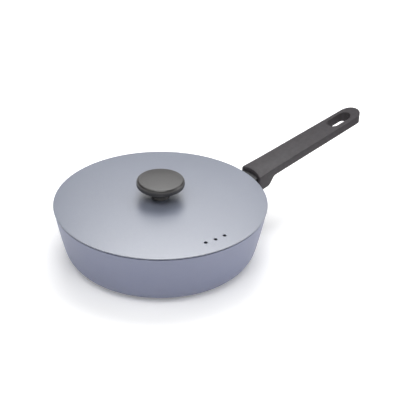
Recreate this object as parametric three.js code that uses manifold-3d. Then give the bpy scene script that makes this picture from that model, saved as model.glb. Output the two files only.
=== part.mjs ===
// Saute pan with lid: a coated aluminium pan on a steel base plate, a moulded grip held on a
// riveted bracket, and a gently domed lid with a turned knob.
// Millimetres, +Z up. The origin is the centre of the base underside, and the handle points along +X.

import * as THREE from 'three';
import { mergeVertices } from 'three/addons/utils/BufferGeometryUtils.js';
import Module from 'manifold-3d';

// Fits
const SEAT_GAP = 0.3; // between a piece and what it rests on, is let into or passes through
const SOCKET_CLEARANCE = 0.8; // between the bracket's tongue and the socket in the grip
const SKIRT_CLEARANCE = 1; // between the lid's locating ring and the pan's wall

// Pan shell
const PAN_HEIGHT = 76; // the rim above the hob
const RIM_RADIUS = 139.4; // outside of the rim
const WALL_FLARE = 17.6; // how far the rim stands outside the foot of the wall
const WALL_SWELL = 1.4; // how far the wall's bend stands outside a straight cone
const WALL_BEND = 0.6; // place of that bend on the way from foot to rim
const CORNER_LEG = 22; // from the foot to where the round corner ends, both ways
const WALL_THICKNESS = 2.6;
const BASE_THICKNESS = 4.2;

// Steel base plate
const PLATE_MARGIN = 10; // flat aluminium left round the plate
const PLATE_THICKNESS = 1.5;
const PLATE_PROUD = 0.3; // how far the plate stands out below the aluminium

// Lid
const LID_OVERHANG = 0.6; // past the outside of the rim
const LID_SHEET = 1.5;
const LID_RISE = 7.9; // of the dome, from its edge to its centre
const SKIRT_DEPTH = 7; // of the locating ring, below the rim
const SKIRT_THICKNESS = 1.6;
const VENT_COUNT = 3;
const VENT_RADIUS = 2.3;
const VENT_PITCH = 14.8; // from hole to hole along their arc
const VENT_EDGE_DISTANCE = 20.9; // from the middle of a hole to the lid's edge
const VENT_DIRECTION = -90; // degrees from the handle, seen from above

// Knob and its fastening
const KNOB_RADIUS = 31.6;
const KNOB_EDGE = 2.4; // rounding of its rim, inwards
const KNOB_UNDERSIDE = 15.2; // underside of the disc above the knob's foot
const KNOB_LOWER_EDGE = 4.6; // from the underside up to the widest circle
const KNOB_UPPER_EDGE = 5.2; // from the widest circle up to the top face
const KNOB_CROWN = 1.2; // of the top face
const KNOB_STEM_RADIUS = 10.7;
const KNOB_FOOT_RADIUS = 11.8;
const INSERT_RADIUS = 4;
const INSERT_LENGTH = 13;
const KNOB_SCREW_RADIUS = 2.5;
const KNOB_SCREW_SPARE = 3; // thread left empty in the insert
const KNOB_SCREW_HEAD_RADIUS = 4.8;
const KNOB_SCREW_HEAD_HEIGHT = 2.8;
const WASHER_RADIUS = 8;
const WASHER_THICKNESS = 1;

// Grip, in its own directions: x along it from its root end, z up from the edges of its top face
const HANDLE_RISE = 12.6; // degrees above level
const HANDLE_STANDOFF = 13.6; // from the rim to the root end
const HANDLE_DROP = 1.4; // top edges of the root end below the rim
const GRIP_LENGTH = 192;
const GRIP_ROOT_WIDTH = 38.2;
const GRIP_TIP_WIDTH = 30.5;
const GRIP_DEPTH = 10.8;
const GRIP_CROWN = 1.2;
const GRIP_EDGE = 1; // rounding of the long edges
const GRIP_WALL = 2.6; // above and below the socket
const GRIP_SIDE_WALL = 3.8; // beside the socket, at the root
const LUG_DEPTH = 21; // of the deep root, which holds the bracket
const LUG_FLOOR = 5.8; // below the socket
const LUG_FLAT = 6.5; // level stretch of the lug's underside
const LUG_RUN = 17; // stretch over which the lug sweeps up to the grip
const SLOT_LENGTH = 38; // of the slot that the pan hangs by
const SLOT_WIDTH = 18.6;
const SLOT_END_WALL = 14.8; // between the slot and the tip

// Bracket: a saddle on the pan's wall and a tongue in the grip
const SADDLE_HEIGHT = 26;
const SADDLE_MARGIN = 3; // beyond the rivets
const SADDLE_THICKNESS = 2.4;
const SADDLE_CORNER = 7;
const TONGUE_BLOCK_REACH = 10; // of the block that the screw enters, into the grip
const TONGUE_TAPER = 9; // length over which the block thins to the blade
const TONGUE_REACH = 36; // of the blade into the grip

// Fasteners of the handle
const RIVET_MARGIN = 1.5; // between a rivet and the tongue
const RIVET_DROP = 4.6; // below the middle of the tongue, at the wall
const RIVET_SHANK_RADIUS = 2.5;
const RIVET_HEAD_RADIUS = 5.5;
const RIVET_HEAD_HEIGHT = 2.2;
const RIVET_TAIL_RADIUS = 4.5;
const RIVET_TAIL_HEIGHT = 1.8;
const GRIP_SCREW_DISTANCE = 6.5; // from the root end
const GRIP_SCREW_RADIUS = 2;
const GRIP_SCREW_HEAD_RADIUS = 4;
const GRIP_SCREW_HEAD_HEIGHT = 2.4;
const GRIP_SCREW_ROOF = 3; // of the tongue, left above the screw
const GRIP_SCREW_SUNK = 0.5; // the head's face inside the lug's underside
const CROSS_WIDTH = 1.1; // of the arms of the cross in a screw's head
const CROSS_DEPTH = 1.3;
const CROSS_MARGIN = 1.8; // from the end of an arm to the head's edge

// Facets
const BIG_ROUND = 72;
const KNOB_ROUND = 48;
const SMALL_ROUND = 24;
const CURVE_STEPS = 6;
const PAST = 20; // how far a cutting shape runs past what it cuts

const wasm = await Module();
wasm.setup();

const point = (x, y) => new THREE.Vector2(x, y);
const radians = THREE.MathUtils.degToRad;

// Sizes that follow from the others
const footRadius = RIM_RADIUS - WALL_FLARE;
const plateRadius = footRadius - CORNER_LEG - PLATE_MARGIN;
const handleRootRadius = RIM_RADIUS + HANDLE_STANDOFF;
const handleRootHeight = PAN_HEIGHT - HANDLE_DROP;
const tongueWidth = GRIP_ROOT_WIDTH - 2 * GRIP_SIDE_WALL - 2 * SOCKET_CLEARANCE;
const tongueTop = -GRIP_WALL - SOCKET_CLEARANCE;
const blockBottom = LUG_FLOOR + SOCKET_CLEARANCE - LUG_DEPTH;
const bladeBottom = GRIP_WALL + SOCKET_CLEARANCE - GRIP_DEPTH;
const gripScrewTip = tongueTop - GRIP_SCREW_ROOF;
const gripScrewSeat = GRIP_SCREW_SUNK + GRIP_SCREW_HEAD_HEIGHT + SEAT_GAP - LUG_DEPTH;
const tongueAtWall =
  handleRootHeight +
  ((tongueTop + blockBottom) / 2) * Math.cos(radians(HANDLE_RISE)) -
  HANDLE_STANDOFF * Math.tan(radians(HANDLE_RISE));
const rivetHeight = tongueAtWall - RIVET_DROP;
const rivetAside = tongueWidth / 2 + RIVET_MARGIN + RIVET_TAIL_RADIUS;

// Solids

/** A solid from a closed geometry, with its shared corners merged and its collapsed faces left out. */
function solidOf(geometry) {
  const bare = geometry.clone();
  bare.deleteAttribute('normal');
  bare.deleteAttribute('uv');
  const merged = mergeVertices(bare);
  const corners = merged.index.array;
  const kept = [];
  for (let i = 0; i < corners.length; i += 3) {
    const [a, b, c] = [corners[i], corners[i + 1], corners[i + 2]];
    if (a !== b && b !== c && c !== a) kept.push(a, b, c);
  }
  const vertProperties = new Float32Array(merged.attributes.position.array);
  return new wasm.Manifold(new wasm.Mesh({ numProp: 3, vertProperties, triVerts: new Uint32Array(kept) }));
}

function geometryOf(solid) {
  const mesh = solid.getMesh();
  const geometry = new THREE.BufferGeometry();
  geometry.setAttribute('position', new THREE.BufferAttribute(mesh.vertProperties, 3));
  geometry.setIndex(new THREE.BufferAttribute(mesh.triVerts, 1));
  geometry.computeVertexNormals();
  return geometry;
}

/** A profile of (radius, height) points turned about +Z; it runs up the outside. */
const turned = (profile, steps) => new THREE.LatheGeometry(profile, steps).rotateX(Math.PI / 2);

/** A flat outline in x and y, raised from one height to another. */
function raised(outline, from, to) {
  const settings = { depth: to - from, bevelEnabled: false, curveSegments: SMALL_ROUND / 2 };
  return new THREE.ExtrudeGeometry(outline, settings).translate(0, 0, from);
}

/** An outline in x and z, spread evenly to both sides of y = 0. */
function spread(outline, width) {
  const settings = { depth: width, bevelEnabled: false };
  return new THREE.ExtrudeGeometry(outline, settings).translate(0, 0, -width / 2).rotateX(Math.PI / 2);
}

function column(radius, from, to, steps = SMALL_ROUND) {
  return turned([point(0, from), point(radius, from), point(radius, to), point(0, to)], steps);
}

/** A closed skin over sections with as many points each, in order along +X. */
function lofted(sections) {
  const count = sections[0].length;
  const faces = [];
  for (let i = 0; i + 1 < sections.length; i += 1) {
    for (let k = 0; k < count; k += 1) {
      const [a, b] = [i * count + k, i * count + ((k + 1) % count)];
      faces.push(a, b, a + count, b, b + count, a + count);
    }
  }
  const flat = (section) => section.map((p) => point(p.y, p.z));
  const last = (sections.length - 1) * count;
  for (const [a, b, c] of THREE.ShapeUtils.triangulateShape(flat(sections[0]), [])) faces.push(c, b, a);
  for (const [a, b, c] of THREE.ShapeUtils.triangulateShape(flat(sections.at(-1)), [])) {
    faces.push(last + a, last + b, last + c);
  }
  return new THREE.BufferGeometry().setFromPoints(sections.flat()).setIndex(faces);
}

// Pan profile, shared by everything that touches the wall

/** Points up the outside, from the edge of the flat base to the rim, with the way into the wall. */
function wallStations() {
  const foot = point(footRadius, PLATE_PROUD);
  const rim = point(RIM_RADIUS, PAN_HEIGHT);
  const cone = rim.clone().sub(foot);
  const outward = point(cone.y, -cone.x).normalize();
  const bend = foot.clone().addScaledVector(cone, WALL_BEND).addScaledVector(outward, WALL_SWELL);
  const lower = bend.clone().sub(foot).normalize();
  const cornerTop = foot.clone().addScaledVector(lower, CORNER_LEG);
  const corner = new THREE.QuadraticBezierCurve(point(footRadius - CORNER_LEG, foot.y), foot, cornerTop);
  const wall = new THREE.QuadraticBezierCurve(cornerTop, bend, rim);
  const stations = [];
  for (let i = 0; i <= 2 * CURVE_STEPS; i += 1) {
    const t = (i % CURVE_STEPS) / CURVE_STEPS;
    const curve = i < CURVE_STEPS ? corner : wall;
    const along = i === 2 * CURVE_STEPS ? 1 : t;
    const tangent = curve.getTangent(along);
    const thickness = THREE.MathUtils.lerp(BASE_THICKNESS, WALL_THICKNESS, Math.min(i / CURVE_STEPS, 1));
    stations.push({ at: curve.getPoint(along), inward: point(-tangent.y, tangent.x), thickness });
  }
  return stations;
}

const stations = wallStations();
const outerWall = stations.map(({ at }) => at);
const innerWall = stations.map(({ at, inward, thickness }) => at.clone().addScaledVector(inward, thickness));
innerWall.at(-1).set(RIM_RADIUS - WALL_THICKNESS, PAN_HEIGHT);

/** The radius of a wall's profile at a height. */
function radiusAt(profile, height) {
  const upper = profile.findIndex((p, i) => i > 0 && p.y >= height);
  const [a, b] = [profile[upper - 1], profile[upper]];
  return THREE.MathUtils.mapLinear(height, a.y, b.y, a.x, b.x);
}

// Placing on the wall and along the handle

/** The place of a rivet: on the outside of the wall, with +Z square to it. */
function rivetPlace(side) {
  const radius = radiusAt(outerWall, rivetHeight);
  const lean = Math.atan(radiusAt(outerWall, rivetHeight + 1) - radius);
  const turn = Math.asin((side * rivetAside) / radius);
  const place = new THREE.Group();
  place.rotation.set(0, Math.PI / 2 + lean, turn, 'ZYX');
  place.position.set(radius * Math.cos(turn), radius * Math.sin(turn), rivetHeight);
  place.updateMatrix();
  return place;
}

function handlePlace() {
  const place = new THREE.Group();
  place.position.set(handleRootRadius, 0, handleRootHeight);
  place.rotation.y = -radians(HANDLE_RISE);
  place.updateMatrix();
  return place;
}

const RIVET_SIDES = { left: 1, right: -1 };

function rivetHole(side) {
  const hole = column(RIVET_SHANK_RADIUS + SEAT_GAP, -PAST, PAST);
  return solidOf(hole.applyMatrix4(rivetPlace(side).matrix));
}

const withRivetHoles = (solid) =>
  Object.values(RIVET_SIDES).reduce((left, side) => left.subtract(rivetHole(side)), solid);

// Pan

function panBody() {
  const recessTop = PLATE_THICKNESS + SEAT_GAP;
  const recessRadius = plateRadius + SEAT_GAP;
  const recess = [point(0, recessTop), point(recessRadius, recessTop), point(recessRadius, PLATE_PROUD)];
  const floor = point(0, PLATE_PROUD + BASE_THICKNESS);
  const profile = [...recess, ...outerWall, ...innerWall.toReversed(), floor];
  return geometryOf(withRivetHoles(solidOf(turned(profile, BIG_ROUND))));
}

const inductionPlate = () => column(plateRadius, 0, PLATE_THICKNESS, BIG_ROUND);

// Bracket and rivets

/** A ring that follows the wall's outside, cut to a plate with round corners. */
function saddle() {
  const [low, high] = [rivetHeight - SADDLE_HEIGHT / 2, rivetHeight + SADDLE_HEIGHT / 2];
  const between = outerWall.filter(({ y }) => y > low && y < high).map(({ y }) => y);
  const heights = [low, ...between, high];
  const offset = (gap) => heights.map((z) => point(radiusAt(outerWall, z) + gap, z));
  const inner = offset(SEAT_GAP);
  const outer = offset(SEAT_GAP + SADDLE_THICKNESS);
  const ring = turned([...outer, ...inner.toReversed(), outer[0]], BIG_ROUND);
  const [y, r] = [rivetAside + RIVET_TAIL_RADIUS + SADDLE_MARGIN, SADDLE_CORNER];
  const outline = new THREE.Shape();
  outline.absarc(y - r, low + r, r, -Math.PI / 2, 0);
  outline.absarc(y - r, high - r, r, 0, Math.PI / 2);
  outline.absarc(r - y, high - r, r, Math.PI / 2, Math.PI);
  outline.absarc(r - y, low + r, r, Math.PI, 1.5 * Math.PI);
  const window = raised(outline, 0, RIM_RADIUS + PAST).rotateX(Math.PI / 2).rotateZ(Math.PI / 2);
  return solidOf(ring).intersect(solidOf(window));
}

/** Side view of the tongue in the grip's directions, or of its socket when it is grown. */
function tongueOutline(grown) {
  const [top, block, blade] = [tongueTop + grown, blockBottom - grown, bladeBottom - grown];
  const start = -handleRootRadius / 2;
  const blockEnd = TONGUE_BLOCK_REACH + grown;
  const end = TONGUE_REACH + grown;
  return new THREE.Shape([
    point(start, top), point(start, block), point(blockEnd, block),
    point(blockEnd + TONGUE_TAPER, blade), point(end, blade), point(end, top),
  ]);
}

/** Everything inside the pan's outside wall, and the gap round it. */
function panSpace() {
  const wall = outerWall.map(({ x, y }) => point(x + SEAT_GAP, y));
  const profile = [point(0, outerWall[0].y), ...wall, point(0, PAN_HEIGHT)];
  return solidOf(turned(profile, BIG_ROUND));
}

function handleBracket() {
  const thread = column(GRIP_SCREW_RADIUS + SEAT_GAP, -LUG_DEPTH, gripScrewTip + SEAT_GAP);
  thread.translate(GRIP_SCREW_DISTANCE, 0, 0);
  const place = handlePlace().matrix;
  const tongue = solidOf(spread(tongueOutline(0), tongueWidth).applyMatrix4(place));
  const bar = tongue.subtract(solidOf(thread.applyMatrix4(place))).subtract(panSpace());
  return geometryOf(withRivetHoles(saddle()).add(bar));
}

function rivet() {
  const head = -WALL_THICKNESS - SEAT_GAP;
  const tail = SEAT_GAP + SADDLE_THICKNESS + SEAT_GAP;
  const path = new THREE.Path().moveTo(0, head - RIVET_HEAD_HEIGHT);
  path.quadraticCurveTo(RIVET_HEAD_RADIUS, head - RIVET_HEAD_HEIGHT, RIVET_HEAD_RADIUS, head);
  path.lineTo(RIVET_SHANK_RADIUS, head);
  path.lineTo(RIVET_SHANK_RADIUS, tail);
  path.lineTo(RIVET_TAIL_RADIUS, tail);
  path.quadraticCurveTo(RIVET_TAIL_RADIUS, tail + RIVET_TAIL_HEIGHT, 0, tail + RIVET_TAIL_HEIGHT);
  return turned(path.getPoints(CURVE_STEPS), SMALL_ROUND);
}

// Grip

/** One section: a crowned top, upright sides and round long edges. */
function gripSection(x, halfWidth, depth) {
  const edge = Math.min(GRIP_EDGE, halfWidth / 2);
  const path = new THREE.Path().moveTo(halfWidth, edge - depth);
  path.lineTo(halfWidth, -edge);
  path.quadraticCurveTo(halfWidth, 0, halfWidth - edge, 0);
  path.quadraticCurveTo(0, 2 * GRIP_CROWN, edge - halfWidth, 0);
  path.quadraticCurveTo(-halfWidth, 0, -halfWidth, -edge);
  path.lineTo(-halfWidth, edge - depth);
  path.quadraticCurveTo(-halfWidth, -depth, edge - halfWidth, -depth);
  path.lineTo(halfWidth - edge, -depth);
  path.quadraticCurveTo(halfWidth, -depth, halfWidth, edge - depth);
  return path.getPoints(CURVE_STEPS / 2).slice(0, -1).map((p) => new THREE.Vector3(x, p.x, p.y));
}

/** Sections from the lug, up its sweep, along the taper and round the tip. */
function gripSections() {
  const tipRadius = GRIP_TIP_WIDTH / 2;
  const tipCentre = GRIP_LENGTH - tipRadius;
  const halfWidth = (x) => THREE.MathUtils.mapLinear(x, 0, tipCentre, GRIP_ROOT_WIDTH / 2, tipRadius);
  const sections = [gripSection(-GRIP_EDGE, halfWidth(-GRIP_EDGE), LUG_DEPTH)];
  for (let i = 0; i <= 2 * CURVE_STEPS; i += 1) {
    const t = i / (2 * CURVE_STEPS);
    const x = LUG_FLAT + LUG_RUN * t;
    const depth = THREE.MathUtils.lerp(LUG_DEPTH, GRIP_DEPTH, THREE.MathUtils.smoothstep(t, 0, 1));
    sections.push(gripSection(x, halfWidth(x), depth));
  }
  for (let i = 0; i < 2 * CURVE_STEPS; i += 1) {
    const turn = (Math.PI / 2) * (i / (2 * CURVE_STEPS));
    const x = tipCentre + tipRadius * Math.sin(turn);
    sections.push(gripSection(x, tipRadius * Math.cos(turn), GRIP_DEPTH));
  }
  return sections;
}

function hangSlot() {
  const radius = SLOT_WIDTH / 2;
  const far = GRIP_LENGTH - SLOT_END_WALL - radius;
  const near = far - SLOT_LENGTH + SLOT_WIDTH;
  const outline = new THREE.Shape();
  outline.absarc(far, 0, radius, -Math.PI / 2, Math.PI / 2);
  outline.absarc(near, 0, radius, Math.PI / 2, 1.5 * Math.PI);
  return raised(outline, -GRIP_DEPTH - PAST, PAST);
}

function handle() {
  const rootCut = column(handleRootRadius, -LUG_DEPTH - PAST, PAST, 2 * BIG_ROUND);
  const socket = spread(tongueOutline(SOCKET_CLEARANCE), tongueWidth + 2 * SOCKET_CLEARANCE);
  const shank = column(GRIP_SCREW_RADIUS + SEAT_GAP, -LUG_DEPTH - PAST, blockBottom);
  const sink = column(GRIP_SCREW_HEAD_RADIUS + SEAT_GAP, -LUG_DEPTH - PAST, gripScrewSeat);
  const cuts = [
    rootCut.translate(-handleRootRadius, 0, 0), socket, hangSlot(),
    shank.translate(GRIP_SCREW_DISTANCE, 0, 0), sink.translate(GRIP_SCREW_DISTANCE, 0, 0),
  ];
  const body = solidOf(lofted(gripSections()));
  return geometryOf(cuts.reduce((left, cut) => left.subtract(solidOf(cut)), body));
}

// Screws

/** A round-headed screw with a cross in its head: head below z = 0, shank above. */
function screw(headRadius, headHeight, shankRadius, shankLength) {
  const path = new THREE.Path().moveTo(0, -headHeight);
  path.lineTo(headRadius / 2, -headHeight);
  path.quadraticCurveTo(headRadius, -headHeight, headRadius, 0);
  path.lineTo(shankRadius, 0);
  path.lineTo(shankRadius, shankLength);
  path.lineTo(0, shankLength);
  const body = solidOf(turned(path.getPoints(CURVE_STEPS / 2), SMALL_ROUND));
  const arm = new THREE.BoxGeometry(2 * (headRadius - CROSS_MARGIN), CROSS_WIDTH, 2 * CROSS_DEPTH);
  arm.translate(0, 0, -headHeight);
  const cross = solidOf(arm).add(solidOf(arm.clone().rotateZ(Math.PI / 2)));
  return geometryOf(body.subtract(cross));
}

// Lid

const lidRadius = RIM_RADIUS + LID_OVERHANG;
const lidEdge = PAN_HEIGHT + SEAT_GAP;
const lidUnderside = (radius) => lidEdge + LID_RISE * (1 - (radius / lidRadius) ** 2);
const lidTop = (radius) => lidUnderside(radius) + LID_SHEET;

function lidShell() {
  const hole = KNOB_SCREW_RADIUS + SEAT_GAP;
  const skirtFoot = PAN_HEIGHT - SKIRT_DEPTH;
  const skirtOut = radiusAt(innerWall, skirtFoot) - SKIRT_CLEARANCE;
  const skirtIn = skirtOut - SKIRT_THICKNESS;
  const stretch = (from, to, height) => {
    const radii = Array.from({ length: CURVE_STEPS + 1 }, (_, i) => from + ((to - from) * i) / CURVE_STEPS);
    return radii.map((radius) => point(radius, height(radius)));
  };
  const profile = [
    ...stretch(hole, skirtIn, lidUnderside), point(skirtIn, skirtFoot), point(skirtOut, skirtFoot),
    point(skirtOut, lidUnderside(skirtOut)), point(lidRadius, lidEdge), ...stretch(lidRadius, hole, lidTop),
  ];
  const shell = solidOf(turned([...profile, profile[0]], BIG_ROUND));
  return geometryOf(ventHoles().reduce((left, vent) => left.subtract(vent), shell));
}

function ventHoles() {
  const arc = lidRadius - VENT_EDGE_DISTANCE;
  return Array.from({ length: VENT_COUNT }, (_, i) => {
    const turn = radians(VENT_DIRECTION) + ((i - (VENT_COUNT - 1) / 2) * VENT_PITCH) / arc;
    const hole = column(VENT_RADIUS, lidEdge - LID_SHEET, lidTop(0) + LID_SHEET);
    return solidOf(hole.translate(arc * Math.cos(turn), arc * Math.sin(turn), 0));
  });
}

// Knob, its insert and what holds it; heights are above its foot

function knob() {
  const bore = INSERT_RADIUS + SEAT_GAP;
  const boreTop = INSERT_LENGTH + 2 * SEAT_GAP;
  const widest = KNOB_UNDERSIDE + KNOB_LOWER_EDGE;
  const edge = widest + KNOB_UPPER_EDGE;
  const top = edge + KNOB_CROWN;
  const faceRadius = KNOB_RADIUS - KNOB_EDGE;
  const path = new THREE.Path().moveTo(0, boreTop);
  path.lineTo(bore, boreTop);
  path.lineTo(bore, 0);
  path.lineTo(KNOB_FOOT_RADIUS, 0);
  path.quadraticCurveTo(KNOB_STEM_RADIUS, KNOB_UNDERSIDE / 4, KNOB_STEM_RADIUS, KNOB_UNDERSIDE / 2);
  path.quadraticCurveTo(KNOB_STEM_RADIUS, KNOB_UNDERSIDE, faceRadius, KNOB_UNDERSIDE);
  path.quadraticCurveTo(KNOB_RADIUS, KNOB_UNDERSIDE, KNOB_RADIUS, widest);
  path.quadraticCurveTo(KNOB_RADIUS, edge, faceRadius, edge);
  path.quadraticCurveTo(faceRadius / 2, top, 0, top);
  return turned(path.getPoints(CURVE_STEPS - 1), KNOB_ROUND);
}

function knobInsert() {
  const bore = KNOB_SCREW_RADIUS + SEAT_GAP;
  const [low, high] = [SEAT_GAP, SEAT_GAP + INSERT_LENGTH];
  const profile = [
    point(bore, low), point(INSERT_RADIUS, low), point(INSERT_RADIUS, high),
    point(bore, high), point(bore, low),
  ];
  return turned(profile, SMALL_ROUND);
}

function knobWasher() {
  const bore = KNOB_SCREW_RADIUS + SEAT_GAP;
  const profile = [
    point(bore, -WASHER_THICKNESS), point(WASHER_RADIUS, -WASHER_THICKNESS), point(WASHER_RADIUS, 0),
    point(bore, 0), point(bore, -WASHER_THICKNESS),
  ];
  return turned(profile, SMALL_ROUND);
}

// Assembly

const FINISHES = {
  coating: { color: 0x8f94a6, roughness: 0.42, metalness: 0.6 },
  steel: { color: 0xb9bbbd, roughness: 0.35, metalness: 1 },
  aluminium: { color: 0x5d5e62, roughness: 0.55, metalness: 1 },
  phenolic: { color: 0x4a4948, roughness: 0.55, metalness: 0 },
  brass: { color: 0xb08d4a, roughness: 0.35, metalness: 1 },
};

function piece(name, geometry, finish, height = 0) {
  const mesh = new THREE.Mesh(geometry, new THREE.MeshStandardMaterial(FINISHES[finish]));
  mesh.name = name;
  mesh.position.z = height;
  return mesh;
}

function panAssembly() {
  const pan = new THREE.Group();
  pan.add(piece('pan_body', panBody(), 'coating'));
  pan.add(piece('induction_plate', inductionPlate(), 'steel'));
  pan.add(piece('handle_bracket', handleBracket(), 'aluminium'));
  for (const [name, side] of Object.entries(RIVET_SIDES)) {
    pan.add(rivetPlace(side).add(piece(`rivet_${name}`, rivet(), 'aluminium')));
  }
  const grip = handlePlace();
  grip.add(piece('handle', handle(), 'phenolic'));
  const seat = gripScrewSeat - SEAT_GAP;
  const shank = gripScrewTip - seat;
  const gripScrew = screw(GRIP_SCREW_HEAD_RADIUS, GRIP_SCREW_HEAD_HEIGHT, GRIP_SCREW_RADIUS, shank);
  grip.add(piece('handle_screw', gripScrew.translate(GRIP_SCREW_DISTANCE, 0, 0), 'steel', seat));
  return pan.add(grip);
}

function lidAssembly() {
  const foot = lidTop(0) + SEAT_GAP;
  const washerTop = lidUnderside(0) - SEAT_GAP;
  const screwSeat = washerTop - WASHER_THICKNESS - SEAT_GAP;
  const shank = foot + SEAT_GAP + INSERT_LENGTH - KNOB_SCREW_SPARE - screwSeat;
  const lidScrew = screw(KNOB_SCREW_HEAD_RADIUS, KNOB_SCREW_HEAD_HEIGHT, KNOB_SCREW_RADIUS, shank);
  const lid = new THREE.Group();
  lid.add(piece('lid_shell', lidShell(), 'coating'));
  lid.add(piece('knob', knob(), 'phenolic', foot));
  lid.add(piece('knob_insert', knobInsert(), 'brass', foot));
  lid.add(piece('knob_washer', knobWasher(), 'steel', washerTop));
  lid.add(piece('knob_screw', lidScrew, 'steel', screwSeat));
  return lid;
}

const sautePan = new THREE.Group();
sautePan.add(panAssembly(), lidAssembly());

export default sautePan;
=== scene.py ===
# %% [markdown]
# # A saute pan with its lid
#
# The solid model gives this pan its sizes, its separate pieces and the joint that the lid lifts on. This
# lesson gives each of those pieces a smooth surface and a finish, and sets up a picture of it. Every piece
# is made at its true place, in metres, with the hob at height zero and the handle along +X.

# %% Load the solid model
import math

import bmesh
import bpy
import numpy as np
from mathutils import Matrix, Vector
from mathutils.geometry import delaunay_2d_cdt


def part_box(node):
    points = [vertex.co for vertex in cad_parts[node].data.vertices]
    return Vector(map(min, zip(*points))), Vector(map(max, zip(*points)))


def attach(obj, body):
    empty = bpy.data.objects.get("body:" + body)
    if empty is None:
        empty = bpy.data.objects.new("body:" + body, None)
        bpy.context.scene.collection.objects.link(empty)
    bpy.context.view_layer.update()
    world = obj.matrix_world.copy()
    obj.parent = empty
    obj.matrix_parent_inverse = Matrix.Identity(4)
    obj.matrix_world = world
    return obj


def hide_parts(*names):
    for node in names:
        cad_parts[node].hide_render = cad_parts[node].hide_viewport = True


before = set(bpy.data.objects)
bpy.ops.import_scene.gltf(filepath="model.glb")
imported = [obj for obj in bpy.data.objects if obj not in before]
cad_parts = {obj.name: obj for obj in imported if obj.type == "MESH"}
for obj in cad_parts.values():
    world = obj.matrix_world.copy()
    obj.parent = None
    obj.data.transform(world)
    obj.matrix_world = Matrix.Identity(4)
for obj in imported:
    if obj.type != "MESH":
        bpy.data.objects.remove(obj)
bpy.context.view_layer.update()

MM = 0.001
print("nodes in the frame:", ", ".join(sorted(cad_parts)))

# %% [markdown]
# ## The camera
#
# The lid's edge is a true circle, so the ellipse that it makes in a picture tells how steeply the camera
# looks down, and that it was held with a slight roll. The handle's direction then gives the turn. The
# camera is built from those angles, and the directions right, back and up, as the camera sees them, serve
# again when the lamps are placed.

# %% Camera
HANDLE_TURN = math.radians(37)
LOOK_DOWN = math.radians(29.88)
CAMERA_ROLL = math.radians(0.87)
CAMERA_DISTANCE = 1.8
LENS_MM = 123.94
AIM_RIGHT = 51.46 * MM
AIM_UP = 2.98 * MM

RIGHT = Vector((math.cos(HANDLE_TURN), -math.sin(HANDLE_TURN), 0))
BACK = Vector((math.sin(HANDLE_TURN), math.cos(HANDLE_TURN), 0))
UP = Vector((0, 0, 1))

lid_low, lid_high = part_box("lid_shell")
LID_EDGE_TOP = 77.8 * MM


def look(right, up, back):
    """A turn whose columns are the picture's right and up, and the way back to the viewer."""
    return Matrix((right, up, back)).transposed().to_4x4()


def link(name, data):
    """A new object in the scene."""
    made = bpy.data.objects.new(name, data)
    bpy.context.scene.collection.objects.link(made)
    return made


sight = BACK * math.cos(LOOK_DOWN) - UP * math.sin(LOOK_DOWN)
picture_up = BACK * math.sin(LOOK_DOWN) + UP * math.cos(LOOK_DOWN)
aim = UP * LID_EDGE_TOP + RIGHT * AIM_RIGHT + picture_up * AIM_UP
stand = Matrix.Translation(aim - sight * CAMERA_DISTANCE)
roll = Matrix.Rotation(CAMERA_ROLL, 4, "Z")
camera = link("camera", bpy.data.cameras.new("camera"))
camera.data.lens = LENS_MM
camera.matrix_world = stand @ look(RIGHT, picture_up, -sight) @ roll
bpy.context.scene.camera = camera
print("camera at", [round(x, 3) for x in camera.location])

# %% [markdown]
# ## Wires
#
# A material is a web of nodes. Written out link by link it is hard to read, so one small class wraps a
# socket: Python's own operators on two wires add the Math nodes, and one method adds any other node. The
# same class serves Geometry Nodes, where the sockets carry shapes instead of colours.


# %% Wires between nodes
def feed(node, inputs):
    """Sets a node's sockets, or links those whose value is a wire."""
    for name, value in inputs.items():
        if isinstance(value, Wire):
            value.tree.links.new(value.socket, node.inputs[name])
        else:
            node.inputs[name].default_value = value


class Wire:
    """One output socket of a node tree."""

    def __init__(self, tree, socket):
        self.tree = tree
        self.socket = socket

    def node(self, kind, settings, inputs, output=0):
        """A new node: its settings first, then the values or wires of its sockets."""
        made = self.tree.nodes.new(kind)
        for name, value in settings.items():
            setattr(made, name, value)
        feed(made, inputs)
        return Wire(self.tree, made.outputs[output])

    def math(self, operation, *terms):
        return self.node("ShaderNodeMath", {"operation": operation}, dict(enumerate(terms)))

    def __add__(self, other):
        return self.math("ADD", self, other)

    def __sub__(self, other):
        return self.math("SUBTRACT", self, other)

    def __rsub__(self, other):
        return self.math("SUBTRACT", other, self)

    def __mul__(self, other):
        return self.math("MULTIPLY", self, other)

    def __truediv__(self, other):
        return self.math("DIVIDE", self, other)

    def __pow__(self, other):
        return self.math("POWER", self, other)

    __radd__ = __add__
    __rmul__ = __mul__

    def clamped(self):
        """The same number, held between 0 and 1."""
        return self.node("ShaderNodeClamp", {}, {"Value": self})

    def between(self, start, end):
        """0 up to start, and evenly from there to 1 at end and beyond."""
        return ((self - start) / (end - start)).clamped()

    def colour(self, low, high):
        """A colour from low, where this wire is 0, to high, where it is 1."""
        return self.node("ShaderNodeMix", {"data_type": "RGBA"}, {0: self, 6: low, 7: high}, 2)


def rgb(red, green, blue):
    return (red, green, blue, 1)


# %% [markdown]
# ## The floor
#
# The pan stands on a plain white floor, as in a photographer's studio. The floor takes shadows as any white
# floor does; a little light of its own lifts it to white, and the more so the further it is from the pan.
# That light is only there to be seen, straight or mirrored in the metal: it doesn't fall on the pan.

# %% Floor
FLOOR_HALF = 4.0
FLOOR_COLOUR = rgb(0.9, 0.9, 0.9)
LIFT_UNDER_PAN = 0.22
LIFT_BESIDE_PAN = 0.45
LIFT_FAR_OFF = 0.95
PAN_SHADE_START, PAN_SHADE_END = 118 * MM, 233 * MM
LAMPLIGHT_END = 3.0


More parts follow.
